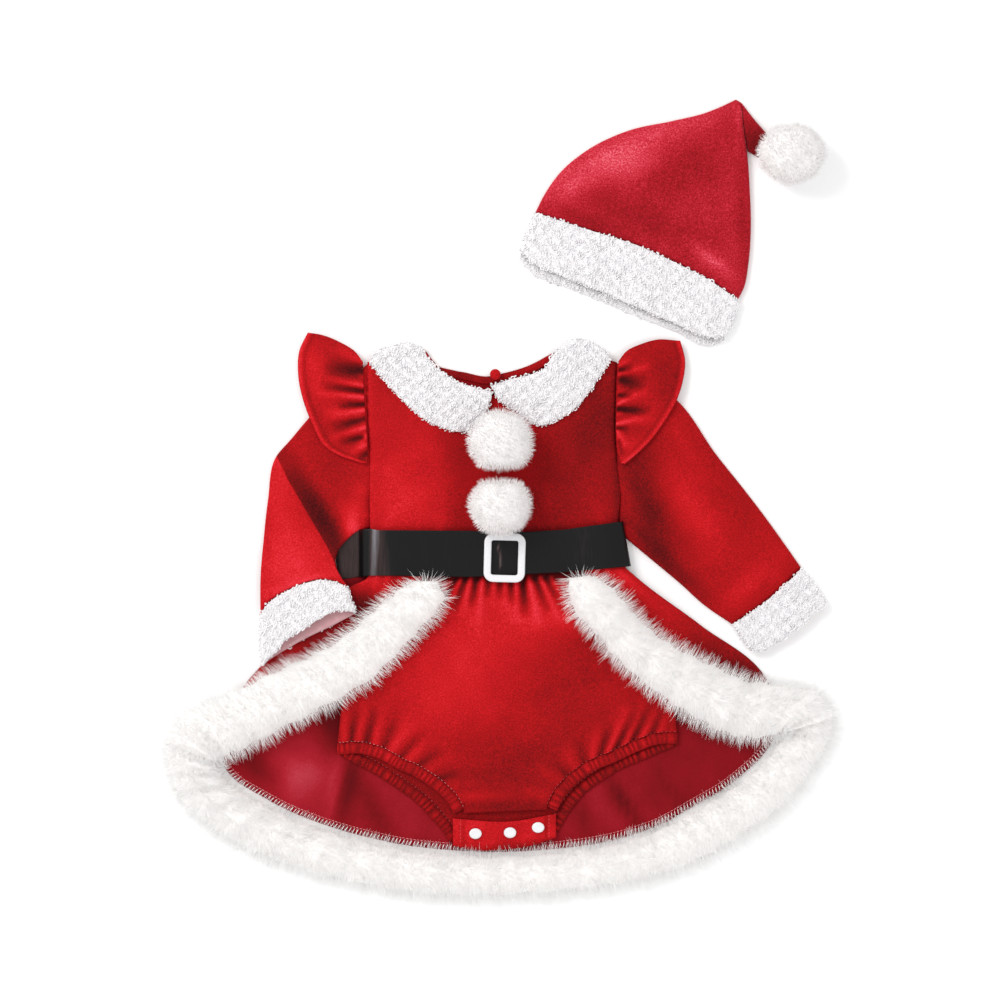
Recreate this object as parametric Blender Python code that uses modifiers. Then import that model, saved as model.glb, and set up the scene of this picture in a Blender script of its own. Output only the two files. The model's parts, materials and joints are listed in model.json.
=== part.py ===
# Romper dress with a ribbon belt and an open overskirt, and its hat, laid flat on a table.
# Millimetres in the tables, metres in the meshes. +Y is towards the collar, +Z is up.
# Every panel is a smooth patch between its edges; a height function says how high it lies.

import math
import random

import bmesh
import bpy
import numpy as np

MM = 0.001
CENTRE_X = -0.8          # middle of the whole set, taken off every x
CENTRE_Y = -0.2          # and off every y

CLOTH = 1.1              # velvet wall
TUBE_CLOTH = 1.2         # velvet wall of sleeves and hat
SHERPA = 2.7             # pile cloth wall of cuffs and brim
RIBBON = 1.0             # belt ribbon
GAP = 0.45               # clearance between layers
SEAM = 1.0               # clearance across the hem seam
FOLD_EDGE = 1.2          # inset of the rounded edge of a flat tube

BODICE_LIFT = 3.7        # underside of the bodice front
BELT_TOP = 11.3          # face of the belt's front stretch
BACK_PUFF = 3.1          # how far the bloomer back lofts
FRONT_PUFF = 2.4         # how far the bloomer front lofts over the back
LEG_RISE = 1.6           # room for the back casing's gathers under the front
CASING = 9.0             # width of the elastic leg casing
LEG_GATHERS = 13         # gathers along each leg casing
WAIST_GATHERS = 12       # gathers along the bloomer's waist
RUFFLE_GATHERS = 8       # gathers along each shoulder ruffle
SKIRT_GATHERS = 3        # gathers in each skirt front's waist
RUFFLE_WAVE = 2.4        # height of the ruffle's gathers at its seam
RUFFLE_EASE = 1.1        # how much lower they are at its free edge
RUFFLE_DROOP = 2.4       # how far the free edge sinks past the sleeve
CASING_WAVE = 1.4        # height of the casing's gathers
WAIST_WAVE = 0.9         # height of the waist's gathers
SKIRT_WAVE = 0.8         # height of the skirt front's gathers

ARM_FLAT = 3.1           # height of the left sleeve where one layer lies on the other
ARM_FULL = 5.0           # height of its root
FOREARM_TOP = 5.2        # height of the folded forearm
RIGHT_ARM = 4.9          # height of the right sleeve
CUFF_HEIGHT = 8.4
BRIM_HEIGHT = 9.0
CROWN_HEIGHT = 5.4
CROWN_DROP = 2.0         # how much thinner the crown is at its peak
TIP_HEIGHT = 4.0
TIP_RISE = 3.4           # lift of the hat's tip under its pompom
TIP_WALL = 1.6

COLLAR_WALL = 5.0        # full pile in the middle of a collar half
COLLAR_EDGE = 0.5        # share of that at its inner and outer edges
COLLAR_CLEAR = 5.8       # height of a collar tip over the bodice
BINDING_WIDTH = 6.0      # folded band round the back neck
BINDING_INSET = 0.3
BINDING_WALL = 1.3

BUCKLE_SIZE = (35.0, 41.5, 3.0)
BUCKLE_BAR = 6.2
BUCKLE_CENTRE = (3.9, -48.8)
BUCKLE_TILT = math.radians(-1.5)
PLACKET_RISE = 2.0       # clears the ends of the back casings
PLACKET_WALL = 2.2       # two layers of velvet
SNAP_RADIUS = 5.3
SNAP_HEIGHT = 1.8

# Edges, columns: x, y
BODICE_LEFT = [(-110, -44), (-110, -26), (-110.5, 0), (-110.5, 32), (-112, 60), (-113, 85), (-112.5, 117)]
BODICE_RIGHT = [(104.5, -44), (100.5, -20), (102, 8), (99.5, 30), (98, 54), (98, 75), (99, 117)]
FRONT_NECK = [(-65, 128), (-51, 110), (-32, 96), (-8, 88.5), (17, 98), (38, 109), (53, 128)]
BACK_NECK = [(-65, 129), (-51, 113), (-30, 108.5), (-11, 105), (2, 107.5), (25, 114.5), (44, 124.5), (53, 129)]

COLLAR_LEFT = {
    "outer": [(-111, 116), (-96, 99), (-80, 82), (-65, 69), (-51, 62), (-30, 58), (-17, 65), (-10.5, 78)],
    "inner": [(-66, 130), (-62, 122), (-51, 110), (-37, 101), (-19, 94), (-9, 91)],
    "left end": [(-111, 116), (-106, 125), (-94, 130), (-76, 133), (-66, 130)],
    "right end": [(-10.5, 78), (-9, 91)],
}
COLLAR_RIGHT = {
    "outer": [(2, 83), (17, 73), (27, 65), (36, 63), (47, 67), (63, 77), (74, 89), (83, 102), (94, 118)],
    "inner": [(-4, 96), (9, 102), (20, 105), (31, 108), (39, 113), (44, 122), (52, 130)],
    "left end": [(2, 83), (-4, 96)],
    "right end": [(94, 118), (91, 124), (79, 133), (66, 137), (52, 130)],
}

SLEEVE_LEFT = {
    "root": [(-114, 116), (-114.8, 85), (-113.8, 60), (-112.2, 32), (-112, 0), (-112.5, -24)],
    "end": [(-203, -97), (-197, -88), (-179, -76), (-162, -69), (-150, -67), (-138, -69), (-128.5, -73.5)],
    "outer": [(-114, 116), (-136, 97), (-162, 70), (-178, 51), (-190, 37), (-197, 0), (-201, -38),
              (-203, -68), (-203, -97)],
    "inner": [(-112.5, -24), (-122, -27.5), (-131, -35), (-138, -45), (-139, -55), (-135, -64),
              (-128.5, -73.5)],
}
SLEEVE_CREASE = [(-189, 36), (-180, 17), (-170, 0), (-159, -19), (-147, -39), (-138, -57), (-129, -73)]
CUFF_LEFT = {
    "root": [(-203, -98.4), (-197, -89.4), (-179, -77.4), (-162, -70.4), (-150, -68.4), (-138, -70.4),
             (-128, -75)],
    "end": [(-201, -139), (-189, -128), (-182, -119), (-167, -110), (-150, -99), (-138, -93.5),
            (-121.5, -95)],
    "back end": [(-202, -140), (-190, -132), (-175, -123), (-160, -115), (-145, -108), (-130, -100),
                 (-121.5, -95.5)],
    "outer": [(-203, -98.4), (-204, -119), (-201, -139)],
    "inner": [(-128, -75), (-126, -83), (-121.5, -95)],
}
SLEEVE_RIGHT = {
    "root": [(99.8, 117), (98.8, 75), (98.8, 54), (100.8, 30), (103.8, 8), (105, -8), (107.5, -20),
             (110, -33)],
    "end": [(256, -58), (228, -84), (197, -105.5)],
    "outer": [(99.8, 117), (123, 105), (150, 85), (184, 38), (204, 13), (224, -13), (242, -38), (256, -58)],
    "inner": [(110, -33), (129, -51), (153, -71), (173, -89), (197, -105.5)],
}
CUFF_RIGHT = {
    "root": [(256.45, -58.5), (228.4, -84.45), (197.4, -106)],
    "end": [(277, -87), (265, -98), (248, -113), (235, -121), (224, -127), (213, -128)],
    "back end": [(277, -87), (265, -98), (248, -113), (235, -121), (224, -127), (213, -128)],
    "outer": [(256.45, -58.5), (266, -70), (277, -87)],
    "inner": [(197.4, -106), (206, -119), (213, -128)],
}

RUFFLE_LEFT = {
    "left": [(-116.5, 31), (-126, 34), (-139, 39), (-150, 47), (-158, 62), (-166, 82), (-171, 105),
             (-170, 127), (-163, 142)],
    "right": [(-112.5, 32), (-112.5, 47), (-113.5, 62), (-114.5, 79), (-115.5, 97), (-116, 117)],
    "low": [(-116.5, 31), (-112.5, 32)],
    "high": [(-163, 142), (-151, 140), (-134, 133), (-123, 126), (-116, 117)],
}
RUFFLE_RIGHT = {
    "left": [(102, 31), (99.5, 42), (98.5, 54), (98.5, 75), (99.5, 97), (100.5, 118)],
    "right": [(106, 30.5), (116, 39), (128, 51), (139, 66), (149, 83), (155, 101), (157, 118), (153, 135)],
    "low": [(102, 31), (106, 30.5)],
    "high": [(100.5, 118), (107, 126), (119, 132), (133, 136), (153, 135)],
}

# Bloomer sides, columns: y, left x, right x
BLOOMER_SIDES = [(-208, -135.5, 149.5), (-170, -134, 147), (-128, -128, 136), (-94, -119, 121),
                 (-68, -111, 110), (-57, -109.5, 106), (-46, -109.5, 104.5)]
LEG_FRONT_LEFT = [(-137, -216), (-119, -215), (-101, -220), (-87, -228), (-73, -234), (-59, -243), (-45, -256),
                  (-39.5, -266)]
LEG_FRONT_RIGHT = [(49, -263), (54, -252), (64, -241), (77, -231), (98, -222), (117, -213), (136, -207),
                   (150, -207)]
LEG_BACK_LEFT = [(-136, -217), (-127, -222), (-103, -235), (-85, -247), (-69, -259), (-57, -272), (-48, -283),
                 (-42, -292)]
LEG_BACK_RIGHT = [(49, -283), (53, -276), (60, -264), (70, -251), (84, -240), (104, -228), (128, -218),
                  (150, -209)]
PLACKET = {
    "low": [(-40, -293), (-25, -296.5), (3, -296.5), (27, -293), (47.5, -286)],
    "high": [(-40, -270), (8, -272.5), (47.5, -266)],
    "left": [(-40, -293), (-40, -270)],
    "right": [(47.5, -286), (47.5, -266)],
}
SNAPS = [("snap_left", -20.8, -282.6), ("snap_middle", 8.5, -281.8), ("snap_right", 32.3, -277.4)]

# Soft folds, columns: from x, from y, to x, to y, half width, height
BODICE_FOLDS = [(-96, 20, -70, -30, 9, 0.7), (70, 30, 88, -24, 10, 0.7), (-40, -8, -46, -40, 8, 0.5)]
BLOOMER_FOLDS = [
    (-126, -205, -84, -166, 8, 1.2),
    (-96, -212, -66, -168, 7, 1.0),
    (-62, -232, -36, -190, 7, 1.0),
    (138, -196, 96, -160, 8, 1.2),
    (104, -210, 78, -168, 7, 1.0),
    (70, -226, 52, -188, 7, 1.0),
]
SKIRT_FOLDS = [
    (-182, -258, -150, -190, 14, 2.2),
    (-134, -276, -118, -214, 12, 1.6),
    (-82, -290, -72, -262, 12, 1.4),
    (78, -292, 70, -262, 12, 1.4),
    (132, -274, 118, -216, 13, 1.8),
    (186, -246, 160, -186, 14, 2.2),
]
SLEEVE_RIGHT_FOLDS = [
    (114, -28, 186, -86, 9, 1.0),
    (150, 62, 214, -56, 16, 1.1),
    (112, 20, 138, -40, 12, 0.8),
]
SLEEVE_LEFT_FOLDS = [(-112, -12, -132, -30, 7, 0.9), (-184, 20, -172, -66, 15, 1.0)]
CROWN_FOLDS = [(196, 180, 205, 330, 12, 1.0), (60, 250, 150, 310, 18, 0.8)]

# The fur strip, columns: inner x, inner y, outer x, outer y, height
FUR = [
    (-43, -69, -85, -68.5, 14),
    (-46, -88, -97, -80, 17),
    (-63, -108, -114.5, -93, 17),
    (-83, -130, -134, -110, 17),
    (-107, -154, -163, -127.5, 17),
    (-146, -177, -190, -138, 18),
    (-184, -197, -219, -152, 18),
    (-214, -213, -250, -165, 19),
    (-230, -219, -275, -178, 19),
    (-237, -224, -289, -201, 20),
    (-234, -231, -289, -221, 20),
    (-229, -237, -285, -240, 20),
    (-222, -243, -274, -260, 20),
    (-208, -251, -253, -279, 20),
    (-189, -261, -225, -297, 20),
    (-165, -272, -192, -311, 20),
    (-138, -281, -153, -323.5, 20),
    (-106, -289.5, -111, -332, 21),
    (-70, -296, -72, -338.5, 21),
    (-29, -299.5, -30, -340, 21),
    (12, -300, 12, -339.5, 21),
    (53, -297, 56, -336.5, 21),
    (86, -292, 94, -331.5, 21),
    (114, -285, 128, -325, 20),
    (142, -274, 162, -314, 20),
    (167, -260, 193, -298, 20),
    (189, -247, 221, -281, 20),
    (208, -233, 247, -260, 20),
    (224, -218, 268, -233, 20),
    (235, -202, 284, -207, 20),
    (237, -198, 288, -181, 20),
    (229, -202, 274, -157, 19),
    (212, -205, 240, -149.5, 19),
    (190, -200.5, 212, -147, 18),
    (167, -189, 189, -137, 18),
    (144, -174.5, 163, -125, 17),
    (120, -156.5, 140, -112.5, 17),
    (97, -136, 122, -98, 17),
    (80, -115, 110, -84, 17),
    (62, -97, 100, -72, 17),
    (49, -67.5, 88, -62.5, 14),
]
# Stretches of the fur strip, columns: node, first row, last row, sections, on the skirt front
FUR_STRETCHES = [
    ("fur_front_left", 0, 9, 13, True),
    ("fur_hem_left", 9, 16, 10, False),
    ("fur_hem_middle", 16, 23, 11, False),
    ("fur_hem_right", 23, 30, 9, False),
    ("fur_front_right", 30, 40, 13, True),
]
HEM_ROWS = (9, 30)
FUR_TRIM = 0.02          # part of a row left free at each end of a stretch
FUR_BASE_CELLS = 4
# Fur section, columns: share of the width, share of the height
FUR_SECTION = [
    (0.0, 0.0),
    (-0.01, 0.32),
    (0.12, 0.76),
    (0.36, 1.0),
    (0.64, 0.98),
    (0.88, 0.74),
    (1.01, 0.32),
    (1.0, 0.0),
]

SKIRT_LEFT = [(-236, -222), (-236, -200), (-221, -163), (-178, -117), (-134, -76), (-127, -66), (-126, -47)]
SKIRT_RIGHT = [(235, -201), (236, -176), (225, -150), (170, -106), (113, -63), (106.5, -57), (104.5, -47)]
SKIRT_FRONT_LEFT = {
    "left": [(-238, -192), (-221, -163), (-178, -118), (-146, -88), (-126, -73), (-111.5, -65), (-110, -47)],
    "right": [(-226, -203), (-205, -184), (-170, -162), (-135, -142), (-102, -118), (-80, -92), (-66, -68),
              (-64, -47)],
}
SKIRT_FRONT_RIGHT = {
    "left": [(224, -190), (200, -175), (170, -160), (143, -143), (119, -121), (97, -99), (78, -76), (72, -62),
             (71, -47)],
    "right": [(236, -172), (225, -150), (170, -106), (113, -63), (106.5, -57), (104.5, -47)],
}

# Belt edges, columns: x, upper y, lower y
BELT_EDGES = [(-135, -39, -68), (-120, -31, -65), (-110, -26, -64), (-25, -26, -65), (22, -27, -62.5),
              (55, -25, -61), (104, -18, -56)]
# Outer face of the belt loop from the left fold over the front and back below, columns: x, z
BELT_LOOP = [(-134, 2.1), (-133, 4.3), (-120.5, 4.4), (-115.5, 10.2), (-108, BELT_TOP), (-60, BELT_TOP),
             (-20, BELT_TOP), (20, BELT_TOP), (60, BELT_TOP), (98, BELT_TOP), (102, BELT_TOP - 0.3), (104, 8.0),
             (104.4, 4.8), (104, 1.8), (102.5, 0.0),
             (60, 0.0), (20, 0.0), (-20, 0.0), (-60, 0.0), (-108, 0.0), (-132.6, 0.0)]
BELT_SKEW = 6.8

HAT_CROWN = {
    "root": [(30, 244), (70, 231), (122, 214), (148, 202), (177, 187), (202, 170)],
    "end": [(200, 340), (205, 337)],
    "outer": [(30, 244), (37, 258), (52, 279), (74, 297), (110, 314), (147, 322), (175, 329), (192, 336),
              (200, 340)],
    "inner": [(202, 170), (207, 180), (211, 201), (213, 229), (212, 265), (210, 293), (207, 315), (205, 337)],
}
HAT_BRIM = {
    "root": [(29.7, 243.4), (69.7, 230.4), (121.7, 213.4), (147.7, 201.4), (176.7, 186.4), (202, 169.2)],
    "end": [(17, 212), (30, 200), (56, 188.5), (84, 177.5), (111, 165.5), (150, 149), (178, 138), (191, 139)],
    "back end": [(15, 206), (28, 192), (55, 181), (83, 170), (110, 158.5), (148, 143.5), (179, 131),
                 (189, 135)],
    "outer": [(29.7, 243.4), (22, 229), (17, 212)],
    "inner": [(202, 169.2), (199, 154), (191, 139)],
}
HAT_TIP = {
    "root": [(206.5, 337), (209, 315), (212, 296)],
    "end": [(228.5, 309), (217.5, 293)],
    "outer": [(206.5, 337), (217.5, 321), (228.5, 309)],
    "inner": [(212, 296), (217.5, 293)],
}
# Pompoms, columns: node, x, y, half width, half length, half height, z under it
POMPOMS = [
    ("pompom_top", 0.4, 48.5, 30.0, 30.0, 24.0, 5.3),
    ("pompom_low", 0.0, -4.3, 28.5, 28.5, 24.0, 5.3),
    ("hat_pompom", 245.7, 291.6, 31.5, 28.0, 25.0, 0.0),
]
# What keeps a pompom's locks short on one side, columns: node, direction x, direction y, reach
POMPOM_LIMITS = [
    ("pompom_top", 0.0, -1.0, 23.6),
    ("pompom_low", 0.0, 1.0, 23.4),
    ("hat_pompom", -0.81, 0.58, 23.0),
]
POMPOM_CORE = 0.5        # size of the core against the whole
LOCK_TIP = 0.55          # width of a lock's tip against its root
LOCK_LENGTHS = (0.93, 1.02)
# Covered button: x, y, radius, half height, z under it
NECK_BUTTON = (-4.0, 106.5, 4.6, 3.0, 3.35)

# Colours as sRGB, columns: red, green, blue, roughness
FINISHES = {
    "velvet": (172, 14, 22, 0.75),
    "velvet_hat": (196, 26, 38, 0.75),
    "fur": (246, 244, 243, 0.9),
    "sherpa": (236, 236, 238, 0.9),
    "satin": (34, 32, 34, 0.35),
    "plastic": (240, 240, 240, 0.3),
}


def smoothstep(low, high, value):
    t = min(max((value - low) / (high - low), 0.0), 1.0)
    return t * t * (3.0 - 2.0 * t)


def smooth(points):
    """A smooth curve through the points, as a function of 0 to 1 along it."""
    knots = np.array(points, dtype=float)
    steps = np.linalg.norm(np.diff(knots, axis=0), axis=1)
    marks = np.concatenate([[0.0], np.cumsum(steps)]) / steps.sum()
    slopes = np.gradient(knots, marks, axis=0)

    def at(t):
        i = min(max(int(np.searchsorted(marks, t)) - 1, 0), len(knots) - 2)
        span = marks[i + 1] - marks[i]
        s = (t - marks[i]) / span
        ahead = 2 * s ** 3 - 3 * s ** 2 + 1
        behind = 3 * s ** 2 - 2 * s ** 3
        return (ahead * knots[i] + behind * knots[i + 1]
                + span * (s ** 3 - 2 * s ** 2 + s) * slopes[i]
                + span * (s ** 3 - s ** 2) * slopes[i + 1])

    return at


def chain(curves, shares):
    """Several curves end to end, each over its share of 0 to 1."""
    marks = np.concatenate([[0.0], np.cumsum(shares)]) / sum(shares)

    def at(t):
        i = min(max(int(np.searchsorted(marks, t - 1e-6)) - 1, 0), len(curves) - 1)
        return curves[i]((t - marks[i]) / (marks[i + 1] - marks[i]))

    return at


def beside(curve, distance):
    """The curve moved to its left by a distance."""
    def at(t):
        ahead = curve(min(t + 0.01, 1.0))
        behind = curve(max(t - 0.01, 0.0))
        x, y = ahead - behind
        return curve(t) + np.array([-y, x]) * distance / math.hypot(x, y)

    return at


def patch(left, right, low, high):
    """A plan filled in between four edges; u runs left to right and v low to high."""
    def at(u, v):
        ruled = left(v) * (1 - u) + right(v) * u + low(u) * (1 - v) + high(u) * v
        corners = (low(0) * (1 - u) + low(1) * u) * (1 - v) + (high(0) * (1 - u) + high(1) * u) * v
        return ruled - corners

    return at


def line(start, end):
    return smooth([start, end])


def folds(x, y, table):
    """Height of the soft folds at a point."""
    height = 0.0
    for x0, y0, x1, y1, width, rise in table:
        run_x = x1 - x0
        run_y = y1 - y0
        t = ((x - x0) * run_x + (y - y0) * run_y) / (run_x ** 2 + run_y ** 2)
        t = min(max(t, 0.0), 1.0)
        away = math.hypot(x - x0 - t * run_x, y - y0 - t * run_y)
        height += rise * math.exp(-(away / width) ** 2)
    return height


def side_of(path, x, y):
    """Distance to a path of straight runs, positive on its left."""
    best = None
    for (x0, y0), (x1, y1) in zip(path, path[1:]):
        run_x = x1 - x0
        run_y = y1 - y0
        t = ((x - x0) * run_x + (y - y0) * run_y) / (run_x ** 2 + run_y ** 2)
        t = min(max(t, 0.0), 1.0)
        away = math.hypot(x - x0 - t * run_x, y - y0 - t * run_y)
        turn = run_x * (y - y0) - run_y * (x - x0)
        if best is None or away < abs(best):
            best = math.copysign(away, turn)
    return best


def wave(count, t):
    """Gathers: 1 at each crest, 0 between."""
    return 0.5 + 0.5 * math.cos(2 * math.pi * count * t)


# Heights of the layers, from the table upwards

def over_belt(y):
    """Every panel rises over the belt's back stretch."""
    return (RIBBON + GAP) * smoothstep(-115, -80, y) * (1 - smoothstep(-5, 15, y))


def bloomer_reach(y):
    rows = BLOOMER_SIDES
    ys = [row[0] for row in rows]
    return np.interp(y, ys, [row[1] for row in rows]), np.interp(y, ys, [row[2] for row in rows])


def front_leg_line(x):
    """The bloomer front's lower edge, straightened."""
    return np.interp(x, [-137, -38, 48, 150], [-216, -268, -265, -207])


def puff(x, y):
    """Loft of the bloomer: full in the middle, none at its sides, waist and legs."""
    left, right = bloomer_reach(y)
    across = (2 * x - left - right) / (right - left)
    return (max(0.0, 1 - across ** 4) * smoothstep(-48, -125, y)
            * smoothstep(-25, 70, y - front_leg_line(x)))


def bodice_back_floor(x, y):
    return over_belt(y)


def bodice_front_floor(x, y):
    return BODICE_LIFT + over_belt(y) + folds(x, y, BODICE_FOLDS)


def bodice_front_top(x, y):
    return bodice_front_floor(x, y) + CLOTH


def skirt_back_floor(x, y):
    return over_belt(y) + folds(x, y, SKIRT_FOLDS) * smoothstep(-185, -240, y)


def skirt_back_top(x, y):
    return skirt_back_floor(x, y) + CLOTH


def bloomer_back_floor(x, y):
    return skirt_back_top(x, y) + GAP + BACK_PUFF * puff(x, y)


def bloomer_back_top(x, y):
    return bloomer_back_floor(x, y) + CLOTH


def bloomer_front_floor(x, y):
    rise = LEG_RISE * smoothstep(60, 12, y - front_leg_line(x))
    return bloomer_back_top(x, y) + GAP + rise + FRONT_PUFF * puff(x, y) + folds(x, y, BLOOMER_FOLDS)


def bloomer_front_top(x, y):
    return bloomer_front_floor(x, y) + CLOTH


def skirt_front_floor(x, y):
    """Over the bloomer, then down to the skirt back towards the side fold."""
    left, right = bloomer_reach(max(y, -214))
    beyond = max(left - x, x - right, 0.0)
    on_bloomer = bloomer_front_top(x, y) + GAP + 0.2 + 0.9 * smoothstep(-150, -80, y)
    on_skirt = skirt_back_top(x, y) + GAP
    fall = smoothstep(4, 64, beyond)
    return on_bloomer * (1 - fall) + on_skirt * fall


def skirt_front_top(x, y):
    return skirt_front_floor(x, y) + CLOTH + SKIRT_WAVE * smoothstep(-110, -70, y)


def left_arm_floor(x, y):
    """The left sleeve leaves the table to pass over the skirt."""
    return (skirt_front_top(x, y) + GAP) * smoothstep(-22, -62, y)


def left_arm_height(x, y):
    """The forearm is folded over the underarm along the crease."""
    on_forearm = 1 - smoothstep(-4.0, 4.0, side_of(SLEEVE_CREASE, x, y))
    root = smoothstep(-150, -114, x) * smoothstep(-20, 30, y)
    low = ARM_FLAT + (ARM_FULL - ARM_FLAT) * max(root, smoothstep(30, 60, y))
    return low + (FOREARM_TOP - low) * on_forearm + folds(x, y, SLEEVE_LEFT_FOLDS)


def right_arm_height(x, y):
    return RIGHT_ARM + folds(x, y, SLEEVE_RIGHT_FOLDS)


# Makers of solids

def finish(name):
    """A plain material for one kind of cloth or plastic."""
    material = bpy.data.materials.get(name)
    if material:
        return material
    red, green, blue, roughness = FINISHES[name]
    material = bpy.data.materials.new(name)
    material.use_nodes = True
    shader = material.node_tree.nodes["Principled BSDF"]
    linear = [((c / 255 + 0.055) / 1.055) ** 2.4 for c in (red, green, blue)]
    shader.inputs["Base Color"].default_value = (*linear, 1.0)
    shader.inputs["Roughness"].default_value = roughness
    material.diffuse_color = (*linear, 1.0)
    return material


def place(x, y, z):
    return ((x - CENTRE_X) * MM, (y - CENTRE_Y) * MM, z * MM)


def add_object(name, shape, material, weights=None):
    """Make the object of a bmesh, in the set's own collection."""
    mesh = bpy.data.meshes.new(name)
    shape.to_mesh(mesh)
    shape.free()
    mesh.shade_smooth()
    piece = bpy.data.objects.new(name, mesh)
    bpy.data.collections["romper_set"].objects.link(piece)
    piece.data.materials.append(finish(material))
    if weights:
        group = piece.vertex_groups.new(name="fullness")
        for index, weight in enumerate(weights):
            group.add([index], weight, "REPLACE")
    return piece


def thicken(piece, wall, offset):
    shell = piece.modifiers.new("wall", "SOLIDIFY")
    shell.thickness = wall * MM
    shell.offset = offset
    if piece.vertex_groups:
        shell.vertex_group = "fullness"
    return piece


def sheet(name, plan, across, along, floor, material, wall=CLOTH, fullness=None):
    """One layer of cloth: its underside follows the plan and the height."""
    shape = bmesh.new()
    bmesh.ops.create_grid(shape, x_segments=across, y_segments=along, size=0.5)
    weights = []
    for vert in shape.verts:
        u = vert.co.x + 0.5
        v = vert.co.y + 0.5
        x, y = plan(u, v)
        vert.co = place(x, y, floor(x, y, u, v))
        if fullness:
            weights.append(fullness(u, v))
    return thicken(add_object(name, shape, material, weights), wall, 1.0)


def tube(name, edges, rings, columns, floor, height, material, wall=TUBE_CLOTH):
    """A flat tube of two layers, open at both ends; the lower layer may reach further."""
    upper = patch(smooth(edges["root"]), smooth(edges["end"]), smooth(edges["outer"]), smooth(edges["inner"]))
    lower = patch(smooth(edges["root"]), smooth(edges.get("back end", edges["end"])), smooth(edges["outer"]),
                  smooth(edges["inner"]))
    top_columns, low_columns = columns
    around = top_columns + low_columns + 4
    shape = bmesh.new()
    bmesh.ops.create_grid(shape, x_segments=rings, y_segments=around, size=0.5)
    for vert in shape.verts:
        u = vert.co.x + 0.5
        step = round((vert.co.y + 0.5) * around) % around
        width = np.linalg.norm(upper(u, 1.0) - upper(u, 0.0))
        inset = min(0.3, FOLD_EDGE / width)
        v, level = ring_place(step, top_columns, low_columns, inset)
        x, y = upper(u, v) * level + lower(u, v) * (1 - level)
        vert.co = place(x, y, floor(x, y) + height(x, y) * level)
    bmesh.ops.remove_doubles(shape, verts=shape.verts, dist=1e-6)
    shape.normal_update()
    top_face = max(shape.faces, key=lambda face: face.calc_center_median().z)
    if top_face.normal.z < 0:
        bmesh.ops.reverse_faces(shape, faces=shape.faces)
    return thicken(add_object(name, shape, material), wall, -1.0)


def ring_place(step, top_columns, low_columns, inset):
    """Where a point of a ring lies: share of the width, and 1 on top or 0 below."""
    if step == 0:
        return 0.0, 0.5
    if step <= top_columns + 1:
        return inset + (1 - 2 * inset) * (step - 1) / top_columns, 1.0
    if step == top_columns + 2:
        return 1.0, 0.5
    back = (step - top_columns - 3) / low_columns
    return 1 - inset - (1 - 2 * inset) * back, 0.0


def fur_curves():
    """The inner edge, the outer edge and the height of the fur strip, by row number."""
    rows = np.array(FUR, dtype=float)
    slopes = np.gradient(rows, axis=0)

    def at(position):
        i = min(int(position), len(rows) - 2)
        s = position - i
        return ((2 * s ** 3 - 3 * s ** 2 + 1) * rows[i] + (3 * s ** 2 - 2 * s ** 3) * rows[i + 1]
                + (s ** 3 - 2 * s ** 2 + s) * slopes[i] + (s ** 3 - s ** 2) * slopes[i + 1])

    return at


def fur_stretch(name, first, last, sections, on_skirt):
    """A lumpy length of the fur strip, flat below or following what it lies on."""
    at = fur_curves()
    count = len(FUR_SECTION) + FUR_BASE_CELLS - 1
    shape = bmesh.new()
    rings = []
    for k in range(sections + 1):
        position = first + FUR_TRIM + (last - first - 2 * FUR_TRIM) * k / sections
        ax, ay, bx, by, high = at(position)
        lump = 1 + 0.06 * math.sin(2.3 * position) + 0.04 * math.sin(5.1 * position + 1)
        ring = []
        for share, rise in FUR_SECTION:
            x = ax + (bx - ax) * share
            y = ay + (by - ay) * share
            base = skirt_front_top(x, y) + GAP if on_skirt else 0.0
            ring.append(shape.verts.new(place(x, y, base + high * lump * rise)))
        for cell in range(1, FUR_BASE_CELLS):
            share = 1 - cell / FUR_BASE_CELLS
            x = ax + (bx - ax) * share
            y = ay + (by - ay) * share
            base = skirt_front_top(x, y) + GAP if on_skirt else 0.0
            ring.append(shape.verts.new(place(x, y, base)))
        rings.append(ring)
    for ring, following in zip(rings, rings[1:]):
        for i in range(count):
            j = (i + 1) % count
            shape.faces.new((ring[i], ring[j], following[j], following[i]))
    shape.faces.new(reversed(rings[0]))
    shape.faces.new(rings[-1])
    bmesh.ops.recalc_face_normals(shape, faces=shape.faces)
    return add_object(name, shape, "fur")


def lock_floor(x, y):
    """What the front pompoms' locks stay above: bodice, collar tips or belt and buckle."""
    if y > 54:
        return bodice_front_top(x, y) + COLLAR_CLEAR
    if y < -21:
        return BELT_TOP + GAP + BUCKLE_SIZE[2]
    return bodice_front_top(x, y)


def pompom(name, x, y, half_width, half_length, half_height, base):
    """A ball of three-sided locks, their roots fused in a core."""
    draw = random.Random(name)
    limits = [row[1:] for row in POMPOM_LIMITS if row[0] == name]
    centre = np.array([x, y, base + half_height - 1.2])
    shape = bmesh.new()
    bmesh.ops.create_icosphere(shape, subdivisions=2, radius=1.0)
    roots = {vert: vert.co.copy() for vert in shape.verts}
    made = bmesh.ops.extrude_discrete_faces(shape, faces=shape.faces[:])
    radii = np.array([half_width, half_length, half_height])
    for face in made["faces"]:
        middle = np.array(face.calc_center_median().normalized())
        reach = draw.uniform(*LOCK_LENGTHS)
        for direction_x, direction_y, limit in limits:
            toward = (middle * radii)[:2] @ np.array([direction_x, direction_y])
            if toward > 0:
                reach = min(reach, limit / toward)
        spread = [(np.array(vert.co) - middle * np.array(vert.co).dot(middle)) * radii * LOCK_TIP
                  for vert in face.verts]
        while not all(clear_of_cloth(centre + middle * radii * reach + offset, name) for offset in spread):
            reach -= 0.01
        for vert, offset in zip(face.verts, spread):
            vert.co = place(*(centre + middle * radii * reach + offset))
    for vert, root in roots.items():
        if vert.is_valid:
            vert.co = place(*(centre + np.array(root) * radii * POMPOM_CORE))
    return add_object(name, shape, "fur")


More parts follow.
